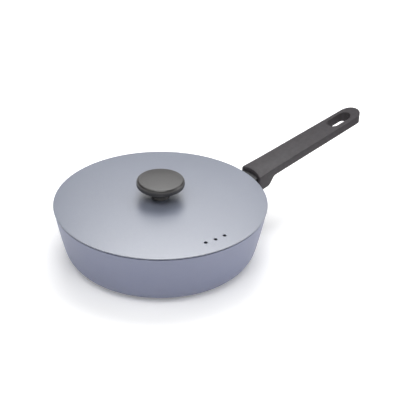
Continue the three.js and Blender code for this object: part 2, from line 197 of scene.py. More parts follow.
def seen(tree):
    """1 for what is seen straight, mirrored or through a piece; 0 for light that falls on things."""
    path = tree.nodes.new("ShaderNodeLightPath")
    kinds = ("Is Camera Ray", "Is Glossy Ray", "Is Transmission Ray")
    straight, mirrored, through = [Wire(tree, path.outputs[kind]) for kind in kinds]
    return (straight + mirrored + through).clamped()


def white_floor():
    material = bpy.data.materials.new("white floor")
    material.use_nodes = True
    tree = material.node_tree
    at = Wire(tree, tree.nodes.new("ShaderNodeTexCoord").outputs["Object"])
    distance = at.node("ShaderNodeVectorMath", {"operation": "LENGTH"}, {0: at}, "Value")
    beside = distance.between(PAN_SHADE_START, PAN_SHADE_END)
    far_off = distance.between(PAN_SHADE_END, LAMPLIGHT_END)
    lift = LIFT_UNDER_PAN + beside * (LIFT_BESIDE_PAN - LIFT_UNDER_PAN)
    lift = lift + far_off * (LIFT_FAR_OFF - LIFT_BESIDE_PAN)
    feed(tree.nodes["Principled BSDF"], {
        "Base Color": FLOOR_COLOUR,
        "Roughness": 1,
        "Specular IOR Level": 0,
        "Emission Color": lift * seen(tree),
        "Emission Strength": 1,
    })
    return material


def corners_of(left, right, low, high):
    """A rectangle's corners, counterclockwise from its lower left."""
    return [(left, low), (right, low), (right, high), (left, high)]


def floor():
    corners = corners_of(-FLOOR_HALF, FLOOR_HALF, -FLOOR_HALF, FLOOR_HALF)
    mesh = bpy.data.meshes.new("floor")
    mesh.from_pydata([(x, y, 0) for x, y in corners], [], [range(4)])
    mesh.materials.append(white_floor())
    made = link("floor", mesh)


floor()
print("floor:", 2 * FLOOR_HALF, "m wide")

# %% [markdown]
# ## The backdrop
#
# Far off all round stands a low white backdrop, and overhead the room is dim. The world's shader paints both
# by how steeply a ray climbs. As with the floor, the backdrop's white is seen but doesn't light the pan; the
# dim light of the room does.

# %% Backdrop
BACKDROP = 1.0
BACKDROP_TOP = math.sin(math.radians(11))
BACKDROP_FADE = 0.05
AMBIENT = 0.13


def backdrop():
    """White up to a little above the floor's edge, and dim overhead, where the panels hang."""
    world = bpy.data.worlds.new("backdrop")
    bpy.context.scene.world = world
    world.use_nodes = True
    tree = world.node_tree
    facing = Wire(tree, tree.nodes.new("ShaderNodeTexCoord").outputs["Normal"])
    down = facing.node("ShaderNodeSeparateXYZ", {}, {"Vector": facing}, "Z")
    low = down.between(-BACKDROP_TOP, BACKDROP_FADE - BACKDROP_TOP)
    strength = AMBIENT + seen(tree) * low * (BACKDROP - AMBIENT)
    feed(tree.nodes["Background"], {"Color": rgb(1, 1, 1), "Strength": strength})


backdrop()
print("backdrop: white up to a slope of", round(BACKDROP_TOP, 3))

# %% [markdown]
# ## The lamps
#
# Soft panels hang above and beside the pan. The front of the lid mirrors those behind it, and they throw the
# knob's soft shadow towards the camera. The one high in front lights the wall and the handle, and those at
# the sides fill in. A panel's place is given as the camera sees it: how far it is turned to the right from
# straight behind, and how high it stands.

# %% Lamps
PANEL_DISTANCE = 1.9
PANEL_SIZE = 1.0


def soft_panel(name, turn, height, power):
    """A square lamp that faces the middle of the pan; its angles are in degrees, its power in watts."""
    data = bpy.data.lights.new(name, "AREA")
    data.size = PANEL_SIZE
    data.energy = power
    level = BACK * math.cos(math.radians(turn)) + RIGHT * math.sin(math.radians(turn))
    way = level * math.cos(math.radians(height)) + UP * math.sin(math.radians(height))
    lamp = link(name, data)
    lamp.location = way * PANEL_DISTANCE
    lamp.rotation_euler = way.to_track_quat("Z", "Y").to_euler()
    lamp.visible_camera = False


soft_panel("panel high behind", 0, 65, 13)
soft_panel("panel behind", 0, 40, 4.6)
soft_panel("panel behind right", 45, 55, 5.0)
soft_panel("panel left", -110, 55, 4)
soft_panel("panel right", 90, 20, 6.5)
soft_panel("panel high in front", 180, 60, 15)
bpy.context.scene.view_settings.view_transform = "Standard"
print("lamps:", len(bpy.data.lights), "soft panels")

# %% [markdown]
# ## Finishes
#
# Each finish starts from the same empty material: one Principled shader, and the coordinates of the piece
# in metres. Patterns are sized in real millimetres, so a scale of 1000 gives a noise whose grains are a
# millimetre.


# %% A finish to start from
def new_finish(name):
    """An empty material, its shader, and a wire with the piece's own coordinates."""
    material = bpy.data.materials.new(name)
    material.use_nodes = True
    tree = material.node_tree
    coordinates = tree.nodes.new("ShaderNodeTexCoord")
    return material, tree.nodes["Principled BSDF"], Wire(tree, coordinates.outputs["Object"])


def noise(at, grain, detail=2.0):
    """Soft noise from 0 to 1, with grains of about that many metres."""
    return at.node("ShaderNodeTexNoise", {}, {"Vector": at, "Scale": 1 / grain, "Detail": detail})


def cells(at, size, output):
    """Random cells of about that size: their Color is random, and Distance grows from each middle."""
    return at.node("ShaderNodeTexVoronoi", {}, {"Vector": at, "Scale": 1 / size}, output)


def one_channel(colour):
    return colour.node("ShaderNodeSeparateColor", {}, {"Color": colour})


def bump(height, depth):
    """A surface that rises by depth metres where height is 1."""
    inputs = {"Height": height, "Distance": depth, "Strength": 1.0}
    return height.node("ShaderNodeBump", {}, inputs, "Normal")


def darker(colour, share):
    return rgb(*(share * part for part in colour[:3]))


def radius_of(at):
    """Distance from the pan's axis."""
    x = at.node("ShaderNodeSeparateXYZ", {}, {"Vector": at})
    y = Wire(at.tree, x.socket.node.outputs["Y"])
    return (x * x + y * y) ** 0.5


# %% [markdown]
# ### The metallic coat
#
# The pan and the lid are sprayed with one satin blue-grey paint that holds fine aluminium flakes. The
# pigment scatters a soft blue; the flakes mirror the lamp in silver. So the coat mixes two shaders, and the
# share of flakes changes from cell to cell of a quarter of a millimetre, which breaks the shine as flakes
# do. The one
# paint is made twice: the lid's copy is paler, with more flakes, as painted light on its lit top, and the
# wall's copy is bluer, with fewer flakes, as painted shade on its side.

# %% Metallic coat
FLAKE_SIZE = 0.25 * MM
PEEL_SIZE = 1.1 * MM
PEEL_DEPTH = 0.012 * MM
CLOUD_SIZE = 45 * MM
DEEP_PIGMENT = 0.93
PIGMENT_GLOSS = 0.2
PIGMENT_ROUGHNESS, PIGMENT_UNEVEN = 0.46, 0.08
FLAKE_ROUGHNESS, FLAKE_UNEVEN = 0.33, 0.06
FLAKE_COLOUR = rgb(0.8, 0.8, 0.8)
LEAST_FLAKES, FLAKE_SPREAD = 0.6, 0.8


def metallic_coat(name, pigment, share):
    """The coat with that share of flakes, spread unevenly about it."""
    material, shader, at = new_finish(name)
    cloud = noise(at, CLOUD_SIZE)
    glint = one_channel(cells(at, FLAKE_SIZE, "Color"))
    skin = bump(noise(at, PEEL_SIZE), PEEL_DEPTH)
    feed(shader, {
        "Base Color": cloud.colour(darker(pigment, DEEP_PIGMENT), pigment),
        "Roughness": PIGMENT_ROUGHNESS + cloud * PIGMENT_UNEVEN,
        "Specular IOR Level": PIGMENT_GLOSS,
        "Normal": skin,
    })
    flakes = at.node("ShaderNodeBsdfPrincipled", {}, {
        "Base Color": FLAKE_COLOUR,
        "Metallic": 1.0,
        "Roughness": FLAKE_ROUGHNESS + cloud * FLAKE_UNEVEN,
        "Normal": skin,
    })
    part = share * LEAST_FLAKES + glint * (share * FLAKE_SPREAD)
    both = {0: part, 1: Wire(at.tree, shader.outputs[0]), 2: flakes}
    feed(at.tree.nodes["Material Output"], {"Surface": at.node("ShaderNodeMixShader", {}, both)})
    return material


# Painted light and shade: one paint made twice, paler with more flakes on the lit lid, bluer with fewer on
# the shaded wall.
pan_coat_shaded_copy = metallic_coat("pan coat shaded copy", rgb(0.232, 0.257, 0.395), 0.11)
lid_coat_lit_copy = metallic_coat("lid coat lit copy", rgb(0.235, 0.26, 0.335), 0.18)
print("coats:", pan_coat_shaded_copy.name, "and", lid_coat_lit_copy.name)

# %% [markdown]
# ### The non-stick lining
#
# Inside, the pan has a charcoal non-stick coat with fine mineral flecks. A Voronoi texture gives every
# fleck its own random number, so only some of the cells show one.

# %% Non-stick lining
FLECK_SPACING = 2.6 * MM
FLECK_RADIUS, FLECK_CRISPNESS = 0.17, 14
FLECK_CHANCE_START, FLECK_CHANCE_END = 0.6, 0.85
FLECK_TINT, DUST_TINT = 0.8, 0.2
FLECK_RISE = 0.4
DUST_SIZE = 0.5 * MM
DUST_DEPTH = 0.03 * MM
CHARCOAL, MINERAL = rgb(0.018, 0.018, 0.02), rgb(0.19, 0.19, 0.2)
LINING_ROUGHNESS, LINING_UNEVEN = 0.34, 0.14


def nonstick():
    material, shader, at = new_finish("non-stick lining")
    chance = one_channel(cells(at, FLECK_SPACING, "Color"))
    spot = (FLECK_RADIUS - cells(at, FLECK_SPACING, "Distance")) * FLECK_CRISPNESS
    fleck = spot.clamped() * chance.between(FLECK_CHANCE_START, FLECK_CHANCE_END)
    dust = noise(at, DUST_SIZE, 4.0)
    feed(shader, {
        "Base Color": (fleck * FLECK_TINT + dust * DUST_TINT).clamped().colour(CHARCOAL, MINERAL),
        "Roughness": LINING_ROUGHNESS + dust * LINING_UNEVEN,
        "Normal": bump(dust + fleck * FLECK_RISE, DUST_DEPTH),
    })
    return material


lining_finish = nonstick()
print("lining:", lining_finish.name)

# %% [markdown]
# ### Moulded phenolic
#
# The grip and the knob are moulded in a warm dark grey resin. The mould is spark-eroded, which leaves a
# fine matt grain, and the resin's filler shows as a faint mottle. Hands polish the grip: that sheen is a
# thin coat in the shader, and it fades towards the tip, which they seldom touch. The knob shines evenly.

# %% Phenolic
GRAIN_SIZE = 0.45 * MM
GRAIN_DEPTH = 0.035 * MM
POLISH_ROUGHNESS = 0.46
DULL_START = 170 * MM
DULL_RUN = 200 * MM
MOTTLE_SIZE = 6 * MM
MOTTLE_TINT, GRAIN_TINT = 0.7, 0.3
GRAIN_UNEVEN = 0.12


def phenolic(name, dark, light, roughness, gloss, polish=0):
    material, shader, at = new_finish(name)
    grain = noise(at, GRAIN_SIZE, 3.0)
    mottle = noise(at, MOTTLE_SIZE, 4.0)
    feed(shader, {
        "Base Color": (mottle * MOTTLE_TINT + grain * GRAIN_TINT).colour(dark, light),
        "Roughness": roughness + grain * GRAIN_UNEVEN,
        "Specular IOR Level": gloss,
        "Normal": bump(grain, GRAIN_DEPTH),
    })
    if polish:
        along = at.node("ShaderNodeSeparateXYZ", {}, {"Vector": at})
        dull = along.between(DULL_START, DULL_START + DULL_RUN)
        feed(shader, {"Coat Weight": (1 - dull) * polish, "Coat Roughness": POLISH_ROUGHNESS})
    return material


grip_finish = phenolic("grip phenolic", rgb(0.04, 0.037, 0.04), rgb(0.088, 0.08, 0.087), 0.5, 0.06, 0.48)
knob_finish = phenolic("knob phenolic", rgb(0.018, 0.016, 0.015), rgb(0.03, 0.027, 0.026), 0.26, 0.9)
print("phenolic:", grip_finish.name, "and", knob_finish.name)

# %% [markdown]
# ### Bare metals
#
# Turned metal carries fine rings, as the tool leaves them: noise along one line, read at the distance from
# the axis, draws them. Cast and plated metal has an even grain instead.

# %% Bare metals
TURNING_PITCH = 0.35 * MM
TURNED_SMUDGE, GRAINED_SMUDGE = 18 * MM, 9 * MM
TURNED_DULL, GRAINED_DULL = 0.86, 0.82
TURNED_UNEVEN, GRAINED_UNEVEN = 0.12, 0.14
MORE, LESS = 0.6, 0.4


def turned_metal(name, colour, roughness, depth):
    material, shader, at = new_finish(name)
    along = {"W": radius_of(at), "Scale": 1 / TURNING_PITCH, "Detail": 3.0}
    rings = at.node("ShaderNodeTexNoise", {"noise_dimensions": "1D"}, along)
    smudge = noise(at, TURNED_SMUDGE, 3.0)
    feed(shader, {
        "Base Color": (rings * MORE + smudge * LESS).colour(darker(colour, TURNED_DULL), colour),
        "Metallic": 1.0,
        "Roughness": roughness + smudge * TURNED_UNEVEN,
        "Normal": bump(rings, depth),
    })
    return material


def grained_metal(name, colour, roughness, grain, depth):
    material, shader, at = new_finish(name)
    fine = noise(at, grain, 3.0)
    smudge = noise(at, GRAINED_SMUDGE, 3.0)
    feed(shader, {
        "Base Color": (fine * LESS + smudge * MORE).colour(darker(colour, GRAINED_DULL), colour),
        "Metallic": 1.0,
        "Roughness": roughness + fine * GRAINED_UNEVEN,
        "Normal": bump(fine, depth),
    })
    return material


plate_finish = turned_metal("turned steel", rgb(0.56, 0.56, 0.57), 0.26, 0.01 * MM)
land_finish = turned_metal("turned aluminium", rgb(0.66, 0.66, 0.67), 0.3, 0.02 * MM)
dot_finish = grained_metal("pressed aluminium", rgb(0.7, 0.7, 0.71), 0.34, 0.8 * MM, 0.01 * MM)
cast_finish = grained_metal("cast aluminium", rgb(0.1, 0.1, 0.104), 0.5, 0.7 * MM, 0.05 * MM)
rivet_finish = grained_metal("rivet aluminium", rgb(0.6, 0.6, 0.61), 0.32, 0.9 * MM, 0.008 * MM)
screw_finish = grained_metal("plated steel", rgb(0.58, 0.585, 0.59), 0.28, 0.6 * MM, 0.006 * MM)
brass_finish = grained_metal("brass", rgb(0.62, 0.44, 0.17), 0.3, 0.8 * MM, 0.01 * MM)
print("finishes so far:", ", ".join(material.name for material in bpy.data.materials))

# %% [markdown]
# ## Outlines
#
# Most of the pan is turned: a half outline, as radius and height, swept round the axis. Straight corners
# look like cut card, so every corner of an outline is given a size, and a short curve takes its place.


# %% Outlines
def curve(start, control, end, steps):
    """Points along a quadratic curve, both ends included."""
    t = np.linspace(0, 1, steps + 1)[:, None]
    a, b, c = (np.asarray(p, float) for p in (start, control, end))
    return (1 - t) ** 2 * a + 2 * t * (1 - t) * b + t**2 * c


def towards(start, end, length):
    """The point that far from start on the way to end."""
    way = np.subtract(end, start)
    return np.asarray(start, float) + way * (length / np.linalg.norm(way))


def softened(corners, steps=4):
    """An outline through (x, y, size) corners; a corner's curve starts and ends that far from it."""
    flat = [np.array(c[:2], float) for c in corners]
    points = []
    for i, (_, _, size) in enumerate(corners):
        if size == 0:
            points.append(flat[i])
            continue
        before, after = flat[i - 1], flat[(i + 1) % len(flat)]
        points.extend(curve(towards(flat[i], before, size), flat[i], towards(flat[i], after, size), steps))
    return np.array(points)


def smoothstep(t):
    t = np.clip(t, 0, 1)
    return t * t * (3 - 2 * t)


# %% [markdown]
# ## Turning
#
# The sweep is a small Geometry Nodes tree, used for everything round. Its modifier sits on the outline,
# which is a curve, and sweeps it along a circle of almost no size, so the distance from the axis is the
# outline's own. Merging by distance closes the poles.


# %% The turning tree
POLE_SIZE = 1e-6
MERGE_DISTANCE = 1e-5


def new_tree(name, inputs):
    """An empty Geometry Nodes tree with named inputs, and a wire for each of them."""
    tree = bpy.data.node_groups.new(name, "GeometryNodeTree")
    tree.is_modifier = True
    for label, kind in inputs.items():
        tree.interface.new_socket(label, in_out="INPUT", socket_type="NodeSocket" + kind)
    tree.interface.new_socket("Piece", in_out="OUTPUT", socket_type="NodeSocketGeometry")
    start = tree.nodes.new("NodeGroupInput")
    return tree, {label: Wire(tree, start.outputs[label]) for label in inputs}


def end_tree(shape, finish):
    """Closes a tree: real geometry, with its finish."""
    real = shape.node("GeometryNodeRealizeInstances", {}, {"Geometry": shape})
    coated = shape.node("GeometryNodeSetMaterial", {}, {"Geometry": real, "Material": finish})
    feed(shape.tree.nodes.new("NodeGroupOutput"), {"Piece": coated})


def sweep(outline, segments):
    """Wires that turn an outline about the axis, with faces that look out."""
    size = {"Resolution": segments, "Radius": POLE_SIZE}
    axis = outline.node("GeometryNodeCurvePrimitiveCircle", {}, size)
    skin = outline.node("GeometryNodeCurveToMesh", {}, {"Curve": axis, "Profile Curve": outline})
    merged = {"Geometry": skin, "Distance": MERGE_DISTANCE}
    closed = outline.node("GeometryNodeMergeByDistance", {}, merged)
    return outline.node("GeometryNodeFlipFaces", {}, {"Mesh": closed})


def turning_tree():
    inputs = {"Outline": "Geometry", "Segments": "Int", "Finish": "Material"}
    tree, given = new_tree("turned piece", inputs)
    end_tree(sweep(given["Outline"], given["Segments"]), given["Finish"])
    return tree


TURNING = turning_tree()
print("tree:", TURNING.name, "with", len(TURNING.nodes), "nodes")

# %% [markdown]
# A tree's result is turned into a plain mesh before anything else is done with it. A cut can leave double
# points and faces of many sides, so those are merged and split. The shading is smooth, apart from edges
# that are meant to be crisp.

# %% From tree to mesh
CRISP_ANGLE = math.radians(40)
SAME_POINT = 1e-7


def shaded(made):
    """Smooth shading, with true edges kept crisp."""
    made.data.shade_smooth()
    made.data.set_sharp_from_angle(angle=CRISP_ANGLE)
    return made


def plain_mesh(source):
    """The mesh that a source's modifiers make, with double points merged and faces of many sides split."""
    depsgraph = bpy.context.evaluated_depsgraph_get()
    mesh = bpy.data.meshes.new_from_object(source.evaluated_get(depsgraph))
    shape = bmesh.new()
    shape.from_mesh(mesh)
    bmesh.ops.remove_doubles(shape, verts=shape.verts, dist=SAME_POINT)
    bmesh.ops.triangulate(shape, faces=[face for face in shape.faces if len(face.verts) > 4])
    shape.to_mesh(mesh)
    shape.free()
    return mesh


def grown(name, source, tree, values):
    """The plain mesh that a tree makes of a source object, which is then thrown away."""
    modifier = source.modifiers.new(tree.name, "NODES")
    modifier.node_group = tree
    sockets = [s for s in tree.interface.items_tree if s.in_out == "INPUT" and s.name in values]
    for socket in sockets:
        modifier[socket.identifier] = values[socket.name]
    mesh = plain_mesh(source)
    mesh.name = name
    bpy.data.objects.remove(source)
    return shaded(link(name, mesh))


def outline_curve(points, closed):
    """A curve object through (radius, height) points. The sweep lays the curve's y downwards."""
    data = bpy.data.curves.new("outline", "CURVE")
    data.dimensions = "3D"
    spline = data.splines.new("POLY")
    spline.points.add(len(points) - 1)
    for point, (radius, height) in zip(spline.points, points):
        point.co = (radius, -height, 0, 1)
    spline.use_cyclic_u = closed
    return link("outline", data)


def turned(name, outline, finish, segments, closed=False):
    """A turned piece. The outline runs counterclockwise: out along the bottom and back along the top."""
    values = {"Segments": segments, "Finish": finish}
    return grown(name, outline_curve(outline, closed), TURNING, values)


# %% [markdown]
# ## The pan's wall
#
# The wall is one profile: a round corner from the flat base, then a gentle outward swell to the rim. Both
# are quadratic curves. The inner face follows at right angles, thick at the base and thinner at the rim.

# %% Wall profile
PAN_LOW, PAN_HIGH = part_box("pan_body")
RIM_RADIUS = PAN_HIGH.y
RIM_HEIGHT = PAN_HIGH.z
BASE_HEIGHT = PAN_LOW.z
WALL_FLARE = 17.6 * MM
WALL_SWELL = 1.4 * MM
WALL_BEND = 0.6
CORNER_LEG = 22 * MM
WALL_THICKNESS = 2.6 * MM
BASE_THICKNESS = 4.2 * MM
WALL_STEPS = 20


def wall_profile():
    """Points up the outside of the wall, the way into it, and its thickness there."""
    foot = np.array((RIM_RADIUS - WALL_FLARE, BASE_HEIGHT))
    rim = np.array((RIM_RADIUS, RIM_HEIGHT))
    cone = rim - foot
    outward = np.array((cone[1], -cone[0])) / np.linalg.norm(cone)
    bend = foot + cone * WALL_BEND + outward * WALL_SWELL
    corner_top = towards(foot, bend, CORNER_LEG)
    corner = curve(foot - (CORNER_LEG, 0), foot, corner_top, WALL_STEPS)
    wall = curve(corner_top, bend, rim, WALL_STEPS)
    outside = np.vstack((corner, wall[1:]))
    along = np.gradient(outside, axis=0)
    inward = np.column_stack((-along[:, 1], along[:, 0])) / np.linalg.norm(along, axis=1)[:, None]
    share = np.clip(np.arange(len(outside)) / WALL_STEPS, 0, 1)
    thickness = BASE_THICKNESS + (WALL_THICKNESS - BASE_THICKNESS) * share
    return outside, inward, thickness[:, None]


OUTSIDE, INWARD, THICKNESS = wall_profile()
INSIDE = OUTSIDE + INWARD * THICKNESS


def wall_radius(height):
    return np.interp(height, OUTSIDE[:, 1], OUTSIDE[:, 0])


print("wall: foot radius", round(OUTSIDE[0, 0], 4), "rim radius", round(OUTSIDE[-1, 0], 4))

# %% [markdown]
# ## The pan shell
#
# The shell is a lathe outline: out along the base with its recess for the steel plate, up the wall, over
# the rim and down the inside. The rim has a small step outside, which leaves the dark line under the lid's
# edge. The mesh could also be spun by hand, but with the tree every turned piece is made by the same few
# nodes.

# %% Pan shell
SEAT_GAP = 0.3 * MM
RIM_SOFT = 0.3 * MM
STEP_SOFT = 0.4 * MM
STEP_DOWN, STEP_IN = 1.2 * MM, 1.7 * MM
PAN_SEGMENTS = 192
PLATE_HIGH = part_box("induction_plate")[1]
RECESS_RADIUS = PLATE_HIGH.y + SEAT_GAP
RECESS_TOP = PLATE_HIGH.z + SEAT_GAP
FLOOR_TOP = BASE_HEIGHT + BASE_THICKNESS


def pan_shell():
    recess = [(0, RECESS_TOP), (RECESS_RADIUS, RECESS_TOP), (RECESS_RADIUS, BASE_HEIGHT)]
    step_height = RIM_HEIGHT - STEP_DOWN
    step_out = wall_radius(step_height)
    wall = OUTSIDE[OUTSIDE[:, 1] < step_height - STEP_SOFT]
    rim = softened([
        (*wall[-1], 0),
        (step_out, step_height, STEP_SOFT),
        (step_out - STEP_IN, step_height, STEP_SOFT / 2),
        (step_out - STEP_IN, RIM_HEIGHT, RIM_SOFT),
        (INSIDE[-1][0], RIM_HEIGHT, RIM_SOFT),
        (*INSIDE[-2], 0),
    ])
    outline = np.vstack((recess, wall[:-1], rim, INSIDE[:-2][::-1], [(0, FLOOR_TOP)]))
    made = turned("pan_shell", outline, pan_coat_shaded_copy, PAN_SEGMENTS)
    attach(made, "pan")
    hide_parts("pan_body")
    print("pan_shell:", len(made.data.polygons), "faces")


pan_shell()

# %% [markdown]
# ## The lining and the base's bare land
#
# The non-stick coat is a thin skin of its own over the inside, so that it can have its own finish. The flat
# land round the steel plate is turned bare after painting, and is a thin ring for the same reason.

# %% Lining and land
LINING_LIFT = 0.02 * MM
LINING_THICKNESS = 0.14 * MM
LINING_TOP_MARGIN = 1.4 * MM
LAND_DEPTH = 0.12 * MM
LAND_MARGIN = 0.6 * MM


def pan_lining():
    stop = RIM_HEIGHT - LINING_TOP_MARGIN
    kept = INSIDE[:, 1] < stop
    inner, way = INSIDE[kept], INWARD[kept]
    near = inner + way * LINING_LIFT
    far = inner + way * (LINING_LIFT + LINING_THICKNESS)
    low, high = FLOOR_TOP + LINING_LIFT, FLOOR_TOP + LINING_LIFT + LINING_THICKNESS
    outline = np.vstack(([(0, low)], near, far[::-1], [(0, high)]))
    made = turned("pan_lining", outline, lining_finish, PAN_SEGMENTS)
    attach(made, "pan")
    print("pan_lining:", len(made.data.polygons), "faces")


def base_land():
    inner, outer = RECESS_RADIUS + LAND_MARGIN / 2, OUTSIDE[0, 0] + LAND_MARGIN
    low, high = BASE_HEIGHT - LAND_DEPTH, BASE_HEIGHT + LAND_DEPTH
    made = turned("base_land", corners_of(inner, outer, low, high), land_finish, PAN_SEGMENTS, closed=True)
    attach(made, "pan")
    print("base_land: out to radius", round(outer, 4))


pan_lining()
base_land()

# %% [markdown]
# ## The steel plate
#
# Aluminium alone doesn't heat on an induction hob, so a steel disc is pressed into the base. The press
# drives aluminium through holes in the disc, which shows as rings of dots. Ring k has six times k dots:
# from a dot's number, a little arithmetic in the tree gives its ring and its place round it.

# %% Steel plate and its dots
PLATE_FACE = 0.1 * MM
PLATE_SOFT = 0.4 * MM
PLATE_SEGMENTS = 160
GROOVE_RADIUS = 84 * MM
GROOVE_HALF = 0.6 * MM
GROOVE_DEPTH = 0.3 * MM
GROOVE_SOFT = 0.3 * GROOVE_HALF
DOT_RADIUS = 1.9 * MM
DOT_SOFT = 0.5 * DOT_RADIUS
DOT_SEGMENTS, DOT_EDGE_STEPS = 14, 2
DOT_FACE = 0.02 * MM
DOT_ROOT = 0.3 * MM
DOT_PITCH = 8.8 * MM
DOT_RINGS = 9
ROUNDING = 0.001


def steel_plate():
    outer = PLATE_HIGH.y
    outline = softened([
        (0, PLATE_FACE, 0),
        (GROOVE_RADIUS - GROOVE_HALF, PLATE_FACE, 0),
        (GROOVE_RADIUS, PLATE_FACE + GROOVE_DEPTH, GROOVE_SOFT),
        (GROOVE_RADIUS + GROOVE_HALF, PLATE_FACE, 0),
        (outer, PLATE_FACE, PLATE_SOFT),
        (outer, PLATE_HIGH.z, PLATE_SOFT),
        (0, PLATE_HIGH.z, 0),
    ])
    made = turned("steel_plate", outline, plate_finish, PLATE_SEGMENTS)
    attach(made, "pan")
    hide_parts("induction_plate")
    print("steel_plate:", len(made.data.polygons), "faces")


def dots_tree():
    tree, given = new_tree("rings of dots", {
        "Dot": "Geometry", "Rings": "Int", "Pitch": "Float", "Finish": "Material",
    })
    rings, pitch = given["Rings"], given["Pitch"]
    number = pitch.node("GeometryNodeInputIndex", {}, {}) + 1
    # Rings 1 to k hold 3 k (k + 1) dots, so a dot's ring is the root of that sum, rounded up.
    ring = pitch.math("CEIL", ((number * 12 + 9) ** 0.5 - (3 + ROUNDING)) / 6)
    place = number - 1 - ring * (ring - 1) * 3
    turn = place / ring * (math.tau / 6)
    spot = pitch.node("ShaderNodeCombineXYZ", {}, {
        "X": ring * pitch * pitch.math("COSINE", turn),
        "Y": ring * pitch * pitch.math("SINE", turn),
    })
    count = rings * (rings + 1) * 3
    points = pitch.node("GeometryNodePoints", {}, {"Count": count, "Position": spot})
    dots = pitch.node("GeometryNodeInstanceOnPoints", {}, {"Points": points, "Instance": given["Dot"]})
    end_tree(dots, given["Finish"])
    return tree


def plate_dots():
    corners = [
        (0, DOT_FACE, 0),
        (DOT_RADIUS, DOT_FACE, DOT_SOFT),
        (DOT_RADIUS, DOT_ROOT, 0),
        (0, DOT_ROOT, 0),
    ]
    outline = softened(corners, DOT_EDGE_STEPS)
    dot = turned("one_dot", outline, dot_finish, DOT_SEGMENTS)
    values = {"Rings": DOT_RINGS, "Pitch": DOT_PITCH, "Finish": dot_finish}
    made = grown("plate_dots", dot, dots_tree(), values)
    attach(made, "pan")
    print("plate_dots:", len(made.data.polygons), "faces")


steel_plate()
plate_dots()

# %% [markdown]
# ## Sheets with holes
#
# The lid, the grip and the bracket are thick sheets of some outline, with holes and rounded edges. One
# helper makes them all. It takes rings of points, the outer one counterclockwise and the holes clockwise,
# so that the right-hand side of the way round is always the side without material. A few small helpers say
# what lies where.


# %% Rings of points
def right_of(ring):
    """Unit vectors to the right of the way round a ring."""
    along = np.roll(ring, -1, 0) - np.roll(ring, 1, 0)
    across = np.column_stack((along[:, 1], -along[:, 0]))
    return across / np.linalg.norm(across, axis=1)[:, None]


def within(points, ring):
    """Which points lie inside a ring."""
    x, y = points[:, :1], points[:, 1:]
    a, b = ring, np.roll(ring, -1, 0)
    spans = (a[:, 1] > y) != (b[:, 1] > y)
    rise = np.where(b[:, 1] == a[:, 1], 1, b[:, 1] - a[:, 1])
    crossing = a[:, 0] + (y - a[:, 1]) * (b[:, 0] - a[:, 0]) / rise
    return (np.sum(spans & (x < crossing), axis=1) % 2) == 1


def on_sheet(points, rings):
    """Which points lie inside the outer ring and outside the holes."""
    kept = within(points, rings[0])
    for hole in rings[1:]:
        kept &= ~within(points, hole)
    return kept


def circle(radius, count, centre=(0, 0), clockwise=False):
    turns = np.linspace(0, math.tau, count, endpoint=False)
    if clockwise:
        turns = turns[::-1]
    return np.column_stack((centre[0] + radius * np.cos(turns), centre[1] + radius * np.sin(turns)))


# %% [markdown]
# Each ring becomes a stack of loops that rounds the upper edge, runs down the wall and rounds the lower
# edge. Blender's own triangulation fills the two faces. It fills the holes as well, so only those triangles
# are kept whose middles lie on the sheet.

# %% Faces and edges of a sheet
EDGE_STEPS = 4
SAME_PLACE = 1e-9


def filled(rings, inner):
    """Triangles over the ground between rings, whose points come first, and over the inner points."""
    starts = np.cumsum([0] + [len(ring) for ring in rings])
    edges = [(s + i, s + (i + 1) % len(ring)) for s, ring in zip(starts, rings) for i in range(len(ring))]
    points = np.vstack((*rings, inner))
    corners = [Vector(point) for point in points]
    _, _, triangles, origins, _, _ = delaunay_2d_cdt(corners, edges, [], 0, SAME_PLACE)
    source = [each[0] for each in origins]
    faces = np.array([[source[v] for v in face] for face in triangles])
    return faces[on_sheet(points[faces].mean(1), rings)]


def edge_loops(ring, edge, face, way):
    """Loops that round an edge, from a face to the wall; way is 1 at the lower face and -1 at the upper."""
    out = right_of(ring)
    inset = ring - out * edge
    level = face(inset)
    turns = np.linspace(0, math.pi / 2, EDGE_STEPS + 1)
    return [
        np.column_stack((inset + out * edge * math.sin(t), level + way * edge * (1 - math.cos(t))))
        for t in turns
    ]


# %% [markdown]
# The sheet helper numbers the points of all loops, joins each loop to the next, and closes the sheet above
# and below. A curved face also needs points between its rings, or it would be filled by long flat slivers.


# %% The sheet helper
def sheet(rings, inner, top, bottom, place):
    """Points and faces of a closed sheet; place puts its points in the pan.

    Each ring comes with the rounding of its upper and its lower edge.
    """
    points, faces, over, under, insets = [], [], [], [], []
    total = 0
    for ring, upper, lower in rings:
        loops = edge_loops(ring, upper, top, -1) + edge_loops(ring, lower, bottom, 1)[::-1]
        count = len(ring)
        for k in range(len(loops) - 1):
            for i in range(count):
                a, b = total + k * count + i, total + k * count + (i + 1) % count
                faces.append((a, a + count, b + count, b))
        insets.append(loops[0][:, :2])
        points.extend(loops)
        over.extend(range(total, total + count))
        total += len(loops) * count
        under.extend(range(total - count, total))
    points.append(np.column_stack((inner, top(inner))))
    points.append(np.column_stack((inner, bottom(inner))))
    over.extend(range(total, total + len(inner)))
    under.extend(range(total + len(inner), total + 2 * len(inner)))
    for a, b, c in filled(insets, inner):
        faces.append((over[a], over[b], over[c]))
        faces.append((under[c], under[b], under[a]))
    return place(np.vstack(points)), faces


def made_of(name, points, faces, finish):
    """A mesh object whose faces look out."""
    mesh = bpy.data.meshes.new(name)
    mesh.from_pydata(points.tolist(), [], [tuple(int(i) for i in face) for face in faces])
    mesh.materials.append(finish)
    shape = bmesh.new()
    shape.from_mesh(mesh)
    bmesh.ops.recalc_face_normals(shape, faces=shape.faces)
    shape.to_mesh(mesh)
    shape.free()
    return shaded(link(name, mesh))


CLEAR_SHARE = 0.8


